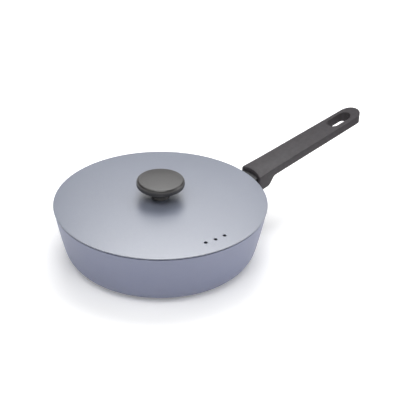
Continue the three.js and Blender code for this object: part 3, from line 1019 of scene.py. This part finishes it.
def sprinkled(rings, step):
    """Even inner points for a sheet: rows of a triangular grid, clear of every ring."""
    low, high = rings[0].min(0), rings[0].max(0)
    rows = np.arange(low[1], high[1], step * math.sqrt(3) / 2)
    columns = np.arange(low[0], high[0], step)
    grid = np.array([(x + (row % 2) * step / 2, y) for row, y in enumerate(rows) for x in columns])
    border = np.vstack(rings)
    gaps = np.array([np.min(np.linalg.norm(border - point, axis=1)) for point in grid])
    return grid[on_sheet(grid, rings) & (gaps > CLEAR_SHARE * step)]


# %% [markdown]
# ## The lid
#
# The lid is a pressed sheet: a shallow dome with three steam vents and a hole for the knob's screw. Its
# inner points lie on rings round the axis, so the dome shades evenly.

# %% Lid
LID_RADIUS = lid_high.y
LID_SHEET = 1.5 * MM
LID_RISE = lid_high.z - LID_EDGE_TOP
LID_SOFT = 0.35 * MM
LID_TUCK = 0.5 * MM
LID_GRID = 3.6 * MM
LID_POINTS = 240
VENT_COUNT = 3
VENT_RADIUS = 2.3 * MM
VENT_SOFT = 0.4 * MM
VENT_PITCH = 14.8 * MM
VENT_EDGE_DISTANCE = 20.9 * MM
VENT_DIRECTION = math.radians(-90)
VENT_POINTS, COLLAR_POINTS = 28, 20
SCREW_HOLE = 2.8 * MM
SCREW_HOLE_POINTS = 24


def lid_top(points):
    return LID_EDGE_TOP + LID_RISE * (1 - (points**2).sum(1) / LID_RADIUS**2)


def lid_underside(points):
    return lid_top(points) - LID_SHEET


def vent_middles():
    arc = LID_RADIUS - VENT_EDGE_DISTANCE
    turns = VENT_DIRECTION + (np.arange(VENT_COUNT) - (VENT_COUNT - 1) / 2) * VENT_PITCH / arc
    return arc * np.column_stack((np.cos(turns), np.sin(turns)))


def as_drawn(points):
    """For a sheet that is drawn at its place."""
    return points


def lid_cover():
    vents = [circle(VENT_RADIUS, VENT_POINTS, middle, clockwise=True) for middle in vent_middles()]
    holes = [circle(SCREW_HOLE, SCREW_HOLE_POINTS, clockwise=True), *vents]
    rings = [(circle(LID_RADIUS, LID_POINTS), LID_SOFT, LID_TUCK)]
    rings += [(hole, VENT_SOFT, VENT_SOFT) for hole in holes]
    radii = np.arange(2 * LID_GRID, LID_RADIUS - LID_GRID / 2, LID_GRID)
    inner = np.vstack([circle(r, round(math.tau * r / LID_GRID)) for r in radii])
    for middle in vent_middles():
        inner = inner[np.linalg.norm(inner - middle, axis=1) > VENT_RADIUS + LID_GRID]
        inner = np.vstack((inner, circle(VENT_RADIUS + LID_GRID / 2, COLLAR_POINTS, middle)))
    points, faces = sheet(rings, inner, lid_top, lid_underside, as_drawn)
    made = made_of("lid_cover", points, faces, lid_coat_lit_copy)
    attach(made, "lid")
    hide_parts("lid_shell")
    print("lid_cover:", len(made.data.polygons), "faces")


lid_cover()

# %% [markdown]
# A ring welded inside the lid keeps it on the pan. It hangs just clear of the wall and reaches a little into
# the sheet above it, as a weld does.

# %% Locating ring
RING_LOW = lid_low.z
RING_THICKNESS = 1.6 * MM
RING_SOFT = 0.4 * RING_THICKNESS
RING_WELD = 0.3 * LID_SHEET
RING_CLEARANCE = 1 * MM


def lid_ring():
    outer = np.interp(RING_LOW, INSIDE[:, 1], INSIDE[:, 0]) - RING_CLEARANCE
    inner = outer - RING_THICKNESS
    weld = lid_underside(np.array([[outer, 0]]))[0] + RING_WELD
    foot = [(inner, RING_LOW, RING_SOFT), (outer, RING_LOW, RING_SOFT)]
    outline = softened([*foot, (outer, weld, 0), (inner, weld, 0)])
    made = turned("lid_ring", outline, lid_coat_lit_copy, PAN_SEGMENTS, closed=True)
    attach(made, "lid")
    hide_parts("lid_shell")
    print("lid_ring: outer radius", round(outer, 4))


lid_ring()

# %% [markdown]
# ## The knob
#
# The knob is turned in one outline: a waisted stem, a soft lower edge, a rounded rim and a barely crowned
# top. Below the lid a washer and a screw hold it, and the screw runs in a brass insert, which keeps its CAD
# solid.

# %% Knob
KNOB_LOW, KNOB_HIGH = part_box("knob")
KNOB_RADIUS = KNOB_HIGH.y
KNOB_EDGE = 3.6 * MM
KNOB_UNDERSIDE = 15.2 * MM
KNOB_LOWER_EDGE = 4.6 * MM
KNOB_UPPER_EDGE = 5.5 * MM
KNOB_CROWN = 1.6 * MM
KNOB_STEM_RADIUS = 10.7 * MM
KNOB_FOOT_RADIUS = 11.8 * MM
KNOB_STEPS, KNOB_SEGMENTS = 14, 128
INSERT_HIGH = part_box("knob_insert")[1]
WASHER_SOFT = 0.2 * MM
WASHER_SEGMENTS = 64


def lid_knob():
    foot = KNOB_LOW.z
    bore, bore_top = INSERT_HIGH.y + SEAT_GAP, INSERT_HIGH.z + SEAT_GAP
    under = foot + KNOB_UNDERSIDE
    widest = under + KNOB_LOWER_EDGE
    edge = widest + KNOB_UPPER_EDGE
    top = edge + KNOB_CROWN
    face = KNOB_RADIUS - KNOB_EDGE
    waist = (KNOB_STEM_RADIUS, foot + KNOB_UNDERSIDE / 2)
    below_waist = (KNOB_STEM_RADIUS, foot + KNOB_UNDERSIDE / 4)
    outline = np.vstack((
        [(0, bore_top), (bore, bore_top), (bore, foot)],
        curve((KNOB_FOOT_RADIUS, foot), below_waist, waist, KNOB_STEPS),
        curve(waist, (KNOB_STEM_RADIUS, under), (face, under), KNOB_STEPS)[1:],
        curve((face, under), (KNOB_RADIUS, under), (KNOB_RADIUS, widest), KNOB_STEPS)[1:],
        curve((KNOB_RADIUS, widest), (KNOB_RADIUS, edge), (face, edge), KNOB_STEPS)[1:],
        curve((face, edge), (face / 2, top), (0, top), KNOB_STEPS)[1:],
    ))
    made = turned("lid_knob", outline, knob_finish, KNOB_SEGMENTS)
    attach(made, "lid")
    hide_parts("knob")
    print("lid_knob:", len(made.data.polygons), "faces")


def lid_washer():
    low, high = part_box("knob_washer")
    outer = high.y
    outline = softened([(*corner, WASHER_SOFT) for corner in corners_of(SCREW_HOLE, outer, low.z, high.z)])
    made = turned("lid_washer", outline, screw_finish, WASHER_SEGMENTS, closed=True)
    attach(made, "lid")
    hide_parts("knob_washer")
    print("lid_washer: radius", round(outer, 4))


lid_knob()
lid_washer()
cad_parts["knob_insert"].data.materials.clear()
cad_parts["knob_insert"].data.materials.append(brass_finish)
print("knob_insert keeps its solid, in", brass_finish.name)

# %% [markdown]
# ## Screws
#
# Both screws have a round head with a cross in it. A tree turns the outline, then cuts the cross with two
# crossed boxes. The screw is made upright at the origin, head down, and its place is set in its mesh.

# %% Screws
CROSS_WIDTH = 1.1 * MM
CROSS_DEPTH = 1.3 * MM
CROSS_MARGIN = 1.8 * MM
HEAD_FACE, HEAD_FACE_SOFT = 0.62, 0.3
HEAD_SIDE, HEAD_SIDE_SOFT = 0.35, 0.3
SCREW_SOFT = 0.25 * MM
SCREW_SEGMENTS = 48


def screw_tree():
    tree, given = new_tree("cross-head screw", {
        "Outline": "Geometry",
        "Segments": "Int",
        "Cross": "Vector",
        "Face": "Float",
        "Finish": "Material",
    })
    body = sweep(given["Outline"], given["Segments"])
    arm = body.node("GeometryNodeMeshCube", {}, {"Size": given["Cross"]})
    at = body.node("ShaderNodeCombineXYZ", {}, {"Z": given["Face"]})
    how = {"operation": "DIFFERENCE", "solver": "MANIFOLD"}
    for turn in (0, math.pi / 2):
        laid = {"Geometry": arm, "Translation": at, "Rotation": (0, 0, turn)}
        cutter = body.node("GeometryNodeTransform", {}, laid)
        body = body.node("GeometryNodeMeshBoolean", how, {"Mesh 1": body, "Mesh 2": cutter})
    end_tree(body, given["Finish"])
    return tree


SCREW = screw_tree()


def screw(name, node, body, head_radius, head_height, shank_radius, length, place):
    """A screw with its head's seat at the height 0 of its own frame, put into the pan by place."""
    outline = softened([
        (0, -head_height, 0),
        (HEAD_FACE * head_radius, -head_height, HEAD_FACE_SOFT * head_radius),
        (head_radius, -HEAD_SIDE * head_height, HEAD_SIDE_SOFT * head_height),
        (head_radius, 0, SCREW_SOFT),
        (shank_radius, 0, 0),
        (shank_radius, length, SCREW_SOFT),
        (0, length, 0),
    ])
    values = {
        "Segments": SCREW_SEGMENTS,
        "Cross": (2 * (head_radius - CROSS_MARGIN), CROSS_WIDTH, 2 * CROSS_DEPTH),
        "Face": -head_height,
        "Finish": screw_finish,
    }
    made = grown(name, outline_curve(outline, False), SCREW, values)
    made.data.transform(place)
    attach(made, body)
    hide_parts(node)
    print(name + ":", len(made.data.polygons), "faces")


KNOB_SCREW_LOW, KNOB_SCREW_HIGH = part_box("knob_screw")
KNOB_SCREW_HEAD = 2.8 * MM
KNOB_SCREW_RADIUS = 2.5 * MM
seat = KNOB_SCREW_LOW.z + KNOB_SCREW_HEAD
screw("lid_screw", "knob_screw", "lid", KNOB_SCREW_HIGH.y, KNOB_SCREW_HEAD, KNOB_SCREW_RADIUS,
      KNOB_SCREW_HIGH.z - seat, Matrix.Translation(UP * seat))

# %% [markdown]
# ## The grip
#
# The grip is a sheet in its own directions, x along it from the root: a crowned top, a deep lug at the root
# that sweeps up to an even thickness, a round tip and the slot to hang it by. The crown runs out a little
# towards the tip. Modelled as one block it would take many edge loops; as a sheet it is two heights and two
# outlines.

# %% Grip faces
HANDLE_RISE = math.radians(12.6)
ROOT_RADIUS = 153 * MM
ROOT_HEIGHT = 74.6 * MM
GRIP_LENGTH = 193 * MM
ROOT_HALF = 20.1 * MM
BODY_HALF = 19.3 * MM
TIP_HALF = 16.2 * MM
FLARE_RUN = 30 * MM
GRIP_DEPTH = 10.8 * MM
ROOT_CROWN = 2.6 * MM
TIP_CROWN = 1.2 * MM
TIP_FALL = 0.5
CROWN_RUN = 90 * MM
GRIP_EDGE = 1 * MM
LUG_DEPTH = 21 * MM
LUG_FLAT = 8.5 * MM
LUG_RUN = 15.5 * MM
TIP_CENTRE = GRIP_LENGTH - TIP_HALF
GRIP_PLACE = Matrix.Translation((ROOT_RADIUS, 0, ROOT_HEIGHT)) @ Matrix.Rotation(-HANDLE_RISE, 4, "Y")


def in_place(points):
    """Grip directions to the pan's frame."""
    turn = np.array(GRIP_PLACE)
    return points @ turn[:3, :3].T + turn[:3, 3]


def half_width(x):
    """An even taper with a small flare at the root."""
    flare = (ROOT_HALF - BODY_HALF) * (1 - smoothstep(x / FLARE_RUN))
    return BODY_HALF + (TIP_HALF - BODY_HALF) * np.clip(x / TIP_CENTRE, 0, 1) + flare


def grip_top(points):
    x, y = points[:, 0], points[:, 1]
    crown = ROOT_CROWN + (TIP_CROWN - ROOT_CROWN) * smoothstep(x / CROWN_RUN)
    past_tip = TIP_FALL * np.maximum(x - TIP_CENTRE, 0)
    aside = np.hypot(past_tip, y) / (half_width(x) - GRIP_EDGE)
    return crown * (1 - aside**2)


def grip_bottom(points):
    rise = smoothstep((points[:, 0] - LUG_FLAT) / LUG_RUN)
    return -LUG_DEPTH + (LUG_DEPTH - GRIP_DEPTH) * rise


tip_place = in_place(np.array([[GRIP_LENGTH, 0, 0]]))[0]
print("grip tip at", [round(float(x), 4) for x in tip_place])

# %% [markdown]
# From above, the grip is a taper with a half round for its tip. Its root end is hollow, because it stands
# against the round wall, and the slot is a long hole with round ends.

# %% Grip outline and slot
ROOT_CORNER = 3.2 * MM
ROOT_HOLLOW = 3 * MM
SLOT_LENGTH = 38 * MM
SLOT_HALF = 9.3 * MM
SLOT_END_WALL = 15.8 * MM
SIDE_POINTS, TIP_POINTS, ROOT_POINTS = 84, 33, 18
ROOT_CORNER_STEPS = 5
SLOT_END_POINTS, SLOT_SIDE_POINTS = 21, 10


def root_x(y):
    """The hollow root end."""
    return -ROOT_HOLLOW * (y / ROOT_HALF) ** 2


def grip_outline():
    """The grip from above, counterclockwise from its right root corner."""
    straight = np.linspace(root_x(ROOT_HALF) + ROOT_CORNER, TIP_CENTRE, SIDE_POINTS)
    side = np.column_stack((straight, -half_width(straight)))
    turns = np.linspace(-math.pi / 2, math.pi / 2, TIP_POINTS)[1:-1]
    tip = np.column_stack((TIP_CENTRE + TIP_HALF * np.cos(turns), TIP_HALF * np.sin(turns)))
    other = side[::-1] * (1, -1)
    aside = ROOT_HALF - ROOT_CORNER
    tip_of_corner = (root_x(ROOT_HALF), ROOT_HALF)
    corner = curve(side[0] * (1, -1), tip_of_corner, (root_x(aside), aside), ROOT_CORNER_STEPS)
    ys = np.linspace(aside, -aside, ROOT_POINTS)
    root = np.column_stack((root_x(ys), ys))
    return np.vstack((side, tip, other, corner[1:-1], root, (corner * (1, -1))[::-1][1:-1]))


def slot_ring():
    """The hanging slot, clockwise."""
    far = GRIP_LENGTH - SLOT_END_WALL - SLOT_HALF
    near = far - SLOT_LENGTH + 2 * SLOT_HALF
    turns = np.linspace(-math.pi / 2, math.pi / 2, SLOT_END_POINTS)
    end = np.column_stack((np.cos(turns), np.sin(turns))) * SLOT_HALF
    straight = np.linspace(far, near, SLOT_SIDE_POINTS)[1:-1]
    left = np.column_stack((straight, np.full(len(straight), SLOT_HALF)))
    ring = np.vstack((end + (far, 0), left, -end + (near, 0), left[::-1] * (1, -1)))
    return ring[::-1]


print("grip outline:", len(grip_outline()), "points, slot:", len(slot_ring()))

# %% [markdown]
# The sheet is then bent a little: its root end leans along the pan's wall, the slot and the tip get the
# draft that lets them leave the mould, and the slot's far end slants more, as a seat for the hook.

# %% Lean and draft
ROOT_LEAN = 0.34
LEAN_RUN = 12 * MM
SLOT_SLANT = 6 * MM
SLOT_DRAFT = 1.9 * MM
TIP_DRAFT = 2 * MM


def bent(points):
    """Leans the root end and drafts the slot and the tip, more so the deeper a point lies."""
    x, y, z = points.T
    deep = np.clip(-z / GRIP_DEPTH, 0, 1)
    root = 1 - smoothstep((x + ROOT_HOLLOW) / LEAN_RUN)
    slot_end = GRIP_LENGTH - SLOT_END_WALL
    slot_start = slot_end - SLOT_LENGTH
    near_slot = 1 - smoothstep((np.abs(y) - SLOT_HALF) / (TIP_HALF - SLOT_HALF))
    near_slot = near_slot * np.clip((GRIP_LENGTH - x) / SLOT_END_WALL, 0, 1)
    end = smoothstep(1 - (slot_end - x) / (2 * SLOT_HALF))
    along = smoothstep((x - slot_start + SLOT_HALF) / SLOT_HALF)
    tip = smoothstep((x - TIP_CENTRE) / TIP_HALF)
    forward = ROOT_LEAN * z * root - deep * (SLOT_SLANT * end * near_slot + TIP_DRAFT * tip)
    inward = SLOT_DRAFT * deep * along * near_slot * np.clip(y / SLOT_HALF, -1, 1)
    return np.column_stack((x + forward, y - inward, z))


# %% [markdown]
# The grip's socket and holes are cut by plain prisms, and the bracket is joined from two shapes. Both are
# Boolean modifiers, with the solver that leaves a closed shape where it was given closed shapes.


# %% Cutting and joining
def combined(made, other, operation):
    """Adds another closed shape to a piece, or takes it away from it."""
    modifier = made.modifiers.new(operation.lower(), "BOOLEAN")
    modifier.operation = operation
    modifier.solver = "MANIFOLD"
    modifier.object = other
    mesh = plain_mesh(made)
    made.modifiers.clear()
    made.data = mesh
    bpy.data.objects.remove(other)
    shaded(made)


def prism(ring, low, high, place):
    """Points and faces of a plain cutter: a ring spread from low to high."""
    count = len(ring)
    ends = [np.column_stack((ring, np.full(count, height))) for height in (low, high)]
    around = [(i, (i + 1) % count) for i in range(count)]
    sides = [(a, b, b + count, a + count) for a, b in around]
    return place(np.vstack(ends)), sides + [range(count), range(count, 2 * count)]


# %% [markdown]
# The bracket's tongue and the grip's socket share one side view: a block where the screw enters, thinning
# to a blade. The socket is that view grown by the clearance between them.

# %% Tongue and socket
SOCKET_CLEARANCE = 0.8 * MM
TONGUE_HALF = 14.5 * MM
TONGUE_TOP = -3.4 * MM
BLOCK_BOTTOM = -14.4 * MM
BLADE_BOTTOM = -7.4 * MM
BLOCK_REACH = 10 * MM
TONGUE_TAPER = 9 * MM
TONGUE_REACH = 36 * MM
TONGUE_CORNER = 1.2 * MM


def tongue_view(clearance, start_top, start_bottom):
    """The tongue from the side, counterclockwise in x and z, from its upper start."""
    top, block, blade = TONGUE_TOP + clearance, BLOCK_BOTTOM - clearance, BLADE_BOTTOM - clearance
    block_end, blade_end = BLOCK_REACH + clearance, TONGUE_REACH + clearance
    return softened([
        (start_top, top, 0),
        (start_bottom, block, 0),
        (block_end, block, TONGUE_CORNER),
        (block_end + TONGUE_TAPER, blade, TONGUE_CORNER),
        (blade_end, blade, TONGUE_CORNER),
        (blade_end, top, TONGUE_CORNER),
    ])


def aside_grip(points):
    """A side view's points, with their distance aside, to the pan's frame."""
    return in_place(np.column_stack((points[:, 0], -points[:, 2], points[:, 1])))


# %% [markdown]
# Now the grip can be made. Two cuts finish it: the socket for the bracket's tongue, and the sunk hole for
# its screw, wide for the head and narrow for the shank.

# %% Grip and its screw
GRIP_GRID = 2.2 * MM
SLOT_SOFT = 0.6 * MM
HOLE_POINTS = 40
GRIP_SCREW_X = 6.5 * MM
GRIP_SCREW_RADIUS = 2 * MM
GRIP_SCREW_HEAD_RADIUS = 4 * MM
GRIP_SCREW_HEAD = 2.4 * MM
GRIP_SCREW_SUNK = 0.5 * MM
GRIP_SCREW_SEAT = GRIP_SCREW_SUNK + GRIP_SCREW_HEAD - LUG_DEPTH
GRIP_SCREW_TIP = -6.4 * MM


def grip():
    outline, slot = grip_outline(), slot_ring()
    rings = [(outline, GRIP_EDGE, GRIP_EDGE), (slot, SLOT_SOFT, SLOT_SOFT)]
    inner = sprinkled([ring - right_of(ring) * edge for ring, edge, _ in rings], GRIP_GRID)
    points, faces = sheet(rings, inner, grip_top, grip_bottom, lambda flat: in_place(bent(flat)))
    made = made_of("grip", points, faces, grip_finish)
    socket = tongue_view(SOCKET_CLEARANCE, -LEAN_RUN, -LEAN_RUN)
    aside = TONGUE_HALF + SOCKET_CLEARANCE
    cutters = [prism(socket, -aside, aside, aside_grip)]
    head_hole = (GRIP_SCREW_HEAD_RADIUS, GRIP_SCREW_SEAT + SEAT_GAP)
    shank_hole = (GRIP_SCREW_RADIUS, BLOCK_BOTTOM)
    for radius, top in (head_hole, shank_hole):
        ring = circle(radius + SEAT_GAP, HOLE_POINTS, (GRIP_SCREW_X, 0))
        cutters.append(prism(ring, -LUG_DEPTH - LUG_FLAT, top, in_place))
    for cutter in cutters:
        combined(made, made_of("cutter", *cutter, grip_finish), "DIFFERENCE")
    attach(made, "pan")
    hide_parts("handle")
    print("grip:", len(made.data.polygons), "faces")


grip()
screw("grip_screw", "handle_screw", "pan", GRIP_SCREW_HEAD_RADIUS, GRIP_SCREW_HEAD, GRIP_SCREW_RADIUS,
      GRIP_SCREW_TIP - GRIP_SCREW_SEAT, GRIP_PLACE @ Matrix.Translation((GRIP_SCREW_X, 0, GRIP_SCREW_SEAT)))

# %% [markdown]
# ## The bracket and its rivets
#
# A cast bracket carries the grip. Its saddle is a sheet bent round the wall: the sheet is drawn flat, as
# distance round the pan and height, and then laid on. The tongue is joined to it by a Boolean union.

# %% Bracket
SADDLE_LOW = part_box("handle_bracket")[0].z
SADDLE_HEIGHT = 26 * MM
SADDLE_HALF = 28 * MM
SADDLE_THICKNESS = 2.4 * MM
SADDLE_CORNER, SADDLE_CORNER_STEPS = 7 * MM, 8
SADDLE_SIDE_STEPS = 12
SADDLE_SOFT = 0.8 * MM
SADDLE_GRID = 2.5 * MM
SHORTEST_STEP = 0.4 * MM
TONGUE_START = 0.35 * SADDLE_THICKNESS
TONGUE_SOFT = 0.6 * MM


def on_wall(points):
    """(distance round, height, distance out) to a place on the pan's outside, handle in the middle."""
    radius = wall_radius(points[:, 1]) + SEAT_GAP + points[:, 2]
    turn = points[:, 0] / RIM_RADIUS
    return np.column_stack((radius * np.cos(turn), radius * np.sin(turn), points[:, 1]))


def flat_at(height):
    """A sheet's face that is flat at one height."""
    return lambda points: np.full(len(points), height)


def saddle_ring():
    """The saddle's outline, with its straight sides cut into short steps."""
    corners = corners_of(-SADDLE_HALF, SADDLE_HALF, SADDLE_LOW, SADDLE_LOW + SADDLE_HEIGHT)
    outline = softened([(*corner, SADDLE_CORNER) for corner in corners], SADDLE_CORNER_STEPS)
    stretches = []
    for start, end in zip(outline, np.roll(outline, -1, 0)):
        stretch = np.linspace(start, end, SADDLE_SIDE_STEPS, endpoint=False)
        is_side = np.linalg.norm(stretch[1] - stretch[0]) > SHORTEST_STEP
        stretches.append(stretch if is_side else stretch[:1])
    return np.vstack(stretches)


def saddle():
    ring = saddle_ring()
    inner = sprinkled([ring], SADDLE_GRID)
    return sheet([(ring, SADDLE_SOFT, SADDLE_SOFT)], inner, flat_at(SADDLE_THICKNESS), flat_at(0), on_wall)


def start_x(z):
    """Where the tongue starts inside the saddle, at a height in grip directions."""
    height = ROOT_HEIGHT + z * math.cos(HANDLE_RISE) - (ROOT_RADIUS - RIM_RADIUS) * math.tan(HANDLE_RISE)
    radius = wall_radius(height) + SEAT_GAP + TONGUE_START
    return (radius - ROOT_RADIUS + z * math.sin(HANDLE_RISE)) / math.cos(HANDLE_RISE)


def wall_bracket():
    made = made_of("wall_bracket", *saddle(), cast_finish)
    view = tongue_view(0, start_x(TONGUE_TOP), start_x(BLOCK_BOTTOM))
    inner = sprinkled([view], SADDLE_GRID)
    sides = flat_at(TONGUE_HALF), flat_at(-TONGUE_HALF)
    tongue = sheet([(view, TONGUE_SOFT, TONGUE_SOFT)], inner, *sides, aside_grip)
    combined(made, made_of("tongue", *tongue, cast_finish), "UNION")
    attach(made, "pan")
    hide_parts("handle_bracket")
    print("wall_bracket:", len(made.data.polygons), "faces")


wall_bracket()

# %% [markdown]
# Two rivets hold the saddle. One is turned at the origin, and a tree sets out the pair on both sides of the
# tongue, square to the wall.

# %% Rivets
RIVET_HEIGHT = (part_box("rivet_left")[0].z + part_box("rivet_left")[1].z) / 2
RIVET_ASIDE = 20.5 * MM
RIVET_SHANK = 2.5 * MM
RIVET_HEAD_RADIUS = 5.5 * MM
RIVET_HEAD_HEIGHT = 2.2 * MM
RIVET_TAIL_RADIUS = 4.5 * MM
RIVET_TAIL_HEIGHT = 1.8 * MM
RIVET_STEPS, RIVET_SEGMENTS = 10, 40


def rivet_tree():
    tree, given = new_tree("rivet pair", {
        "Rivet": "Geometry",
        "Wall Radius": "Float",
        "Height": "Float",
        "Aside": "Float",
        "Lean": "Float",
        "Finish": "Material",
    })
    radius = given["Wall Radius"]
    side = radius.node("GeometryNodeInputIndex", {}, {}) * 2 - 1
    turn = radius.math("ARCSINE", side * given["Aside"] / radius)
    spot = radius.node("ShaderNodeCombineXYZ", {}, {
        "X": radius * radius.math("COSINE", turn),
        "Y": radius * radius.math("SINE", turn),
        "Z": given["Height"],
    })
    square = radius.node("ShaderNodeCombineXYZ", {}, {"Y": given["Lean"] + math.pi / 2, "Z": turn})
    points = radius.node("GeometryNodePoints", {}, {"Count": 2, "Position": spot})
    pair = radius.node("GeometryNodeInstanceOnPoints", {}, {
        "Points": points, "Instance": given["Rivet"], "Rotation": square,
    })
    end_tree(pair, given["Finish"])
    return tree


def wall_rivets():
    head, tail = -WALL_THICKNESS - SEAT_GAP, 2 * SEAT_GAP + SADDLE_THICKNESS
    crown, peened = head - RIVET_HEAD_HEIGHT, tail + RIVET_TAIL_HEIGHT
    outline = np.vstack((
        curve((0, crown), (RIVET_HEAD_RADIUS, crown), (RIVET_HEAD_RADIUS, head), RIVET_STEPS),
        [(RIVET_SHANK, head), (RIVET_SHANK, tail)],
        curve((RIVET_TAIL_RADIUS, tail), (RIVET_TAIL_RADIUS, peened), (0, peened), RIVET_STEPS),
    ))
    rivet = turned("one_rivet", outline, rivet_finish, RIVET_SEGMENTS)
    radius = float(wall_radius(RIVET_HEIGHT))
    lean = math.atan((float(wall_radius(RIVET_HEIGHT + MM)) - radius) / MM)
    made = grown("wall_rivets", rivet, rivet_tree(), {
        "Wall Radius": radius,
        "Height": RIVET_HEIGHT,
        "Aside": RIVET_ASIDE,
        "Lean": lean,
        "Finish": rivet_finish,
    })
    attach(made, "pan")
    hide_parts("rivet_left", "rivet_right")
    print("wall_rivets:", len(made.data.polygons), "faces")


wall_rivets()
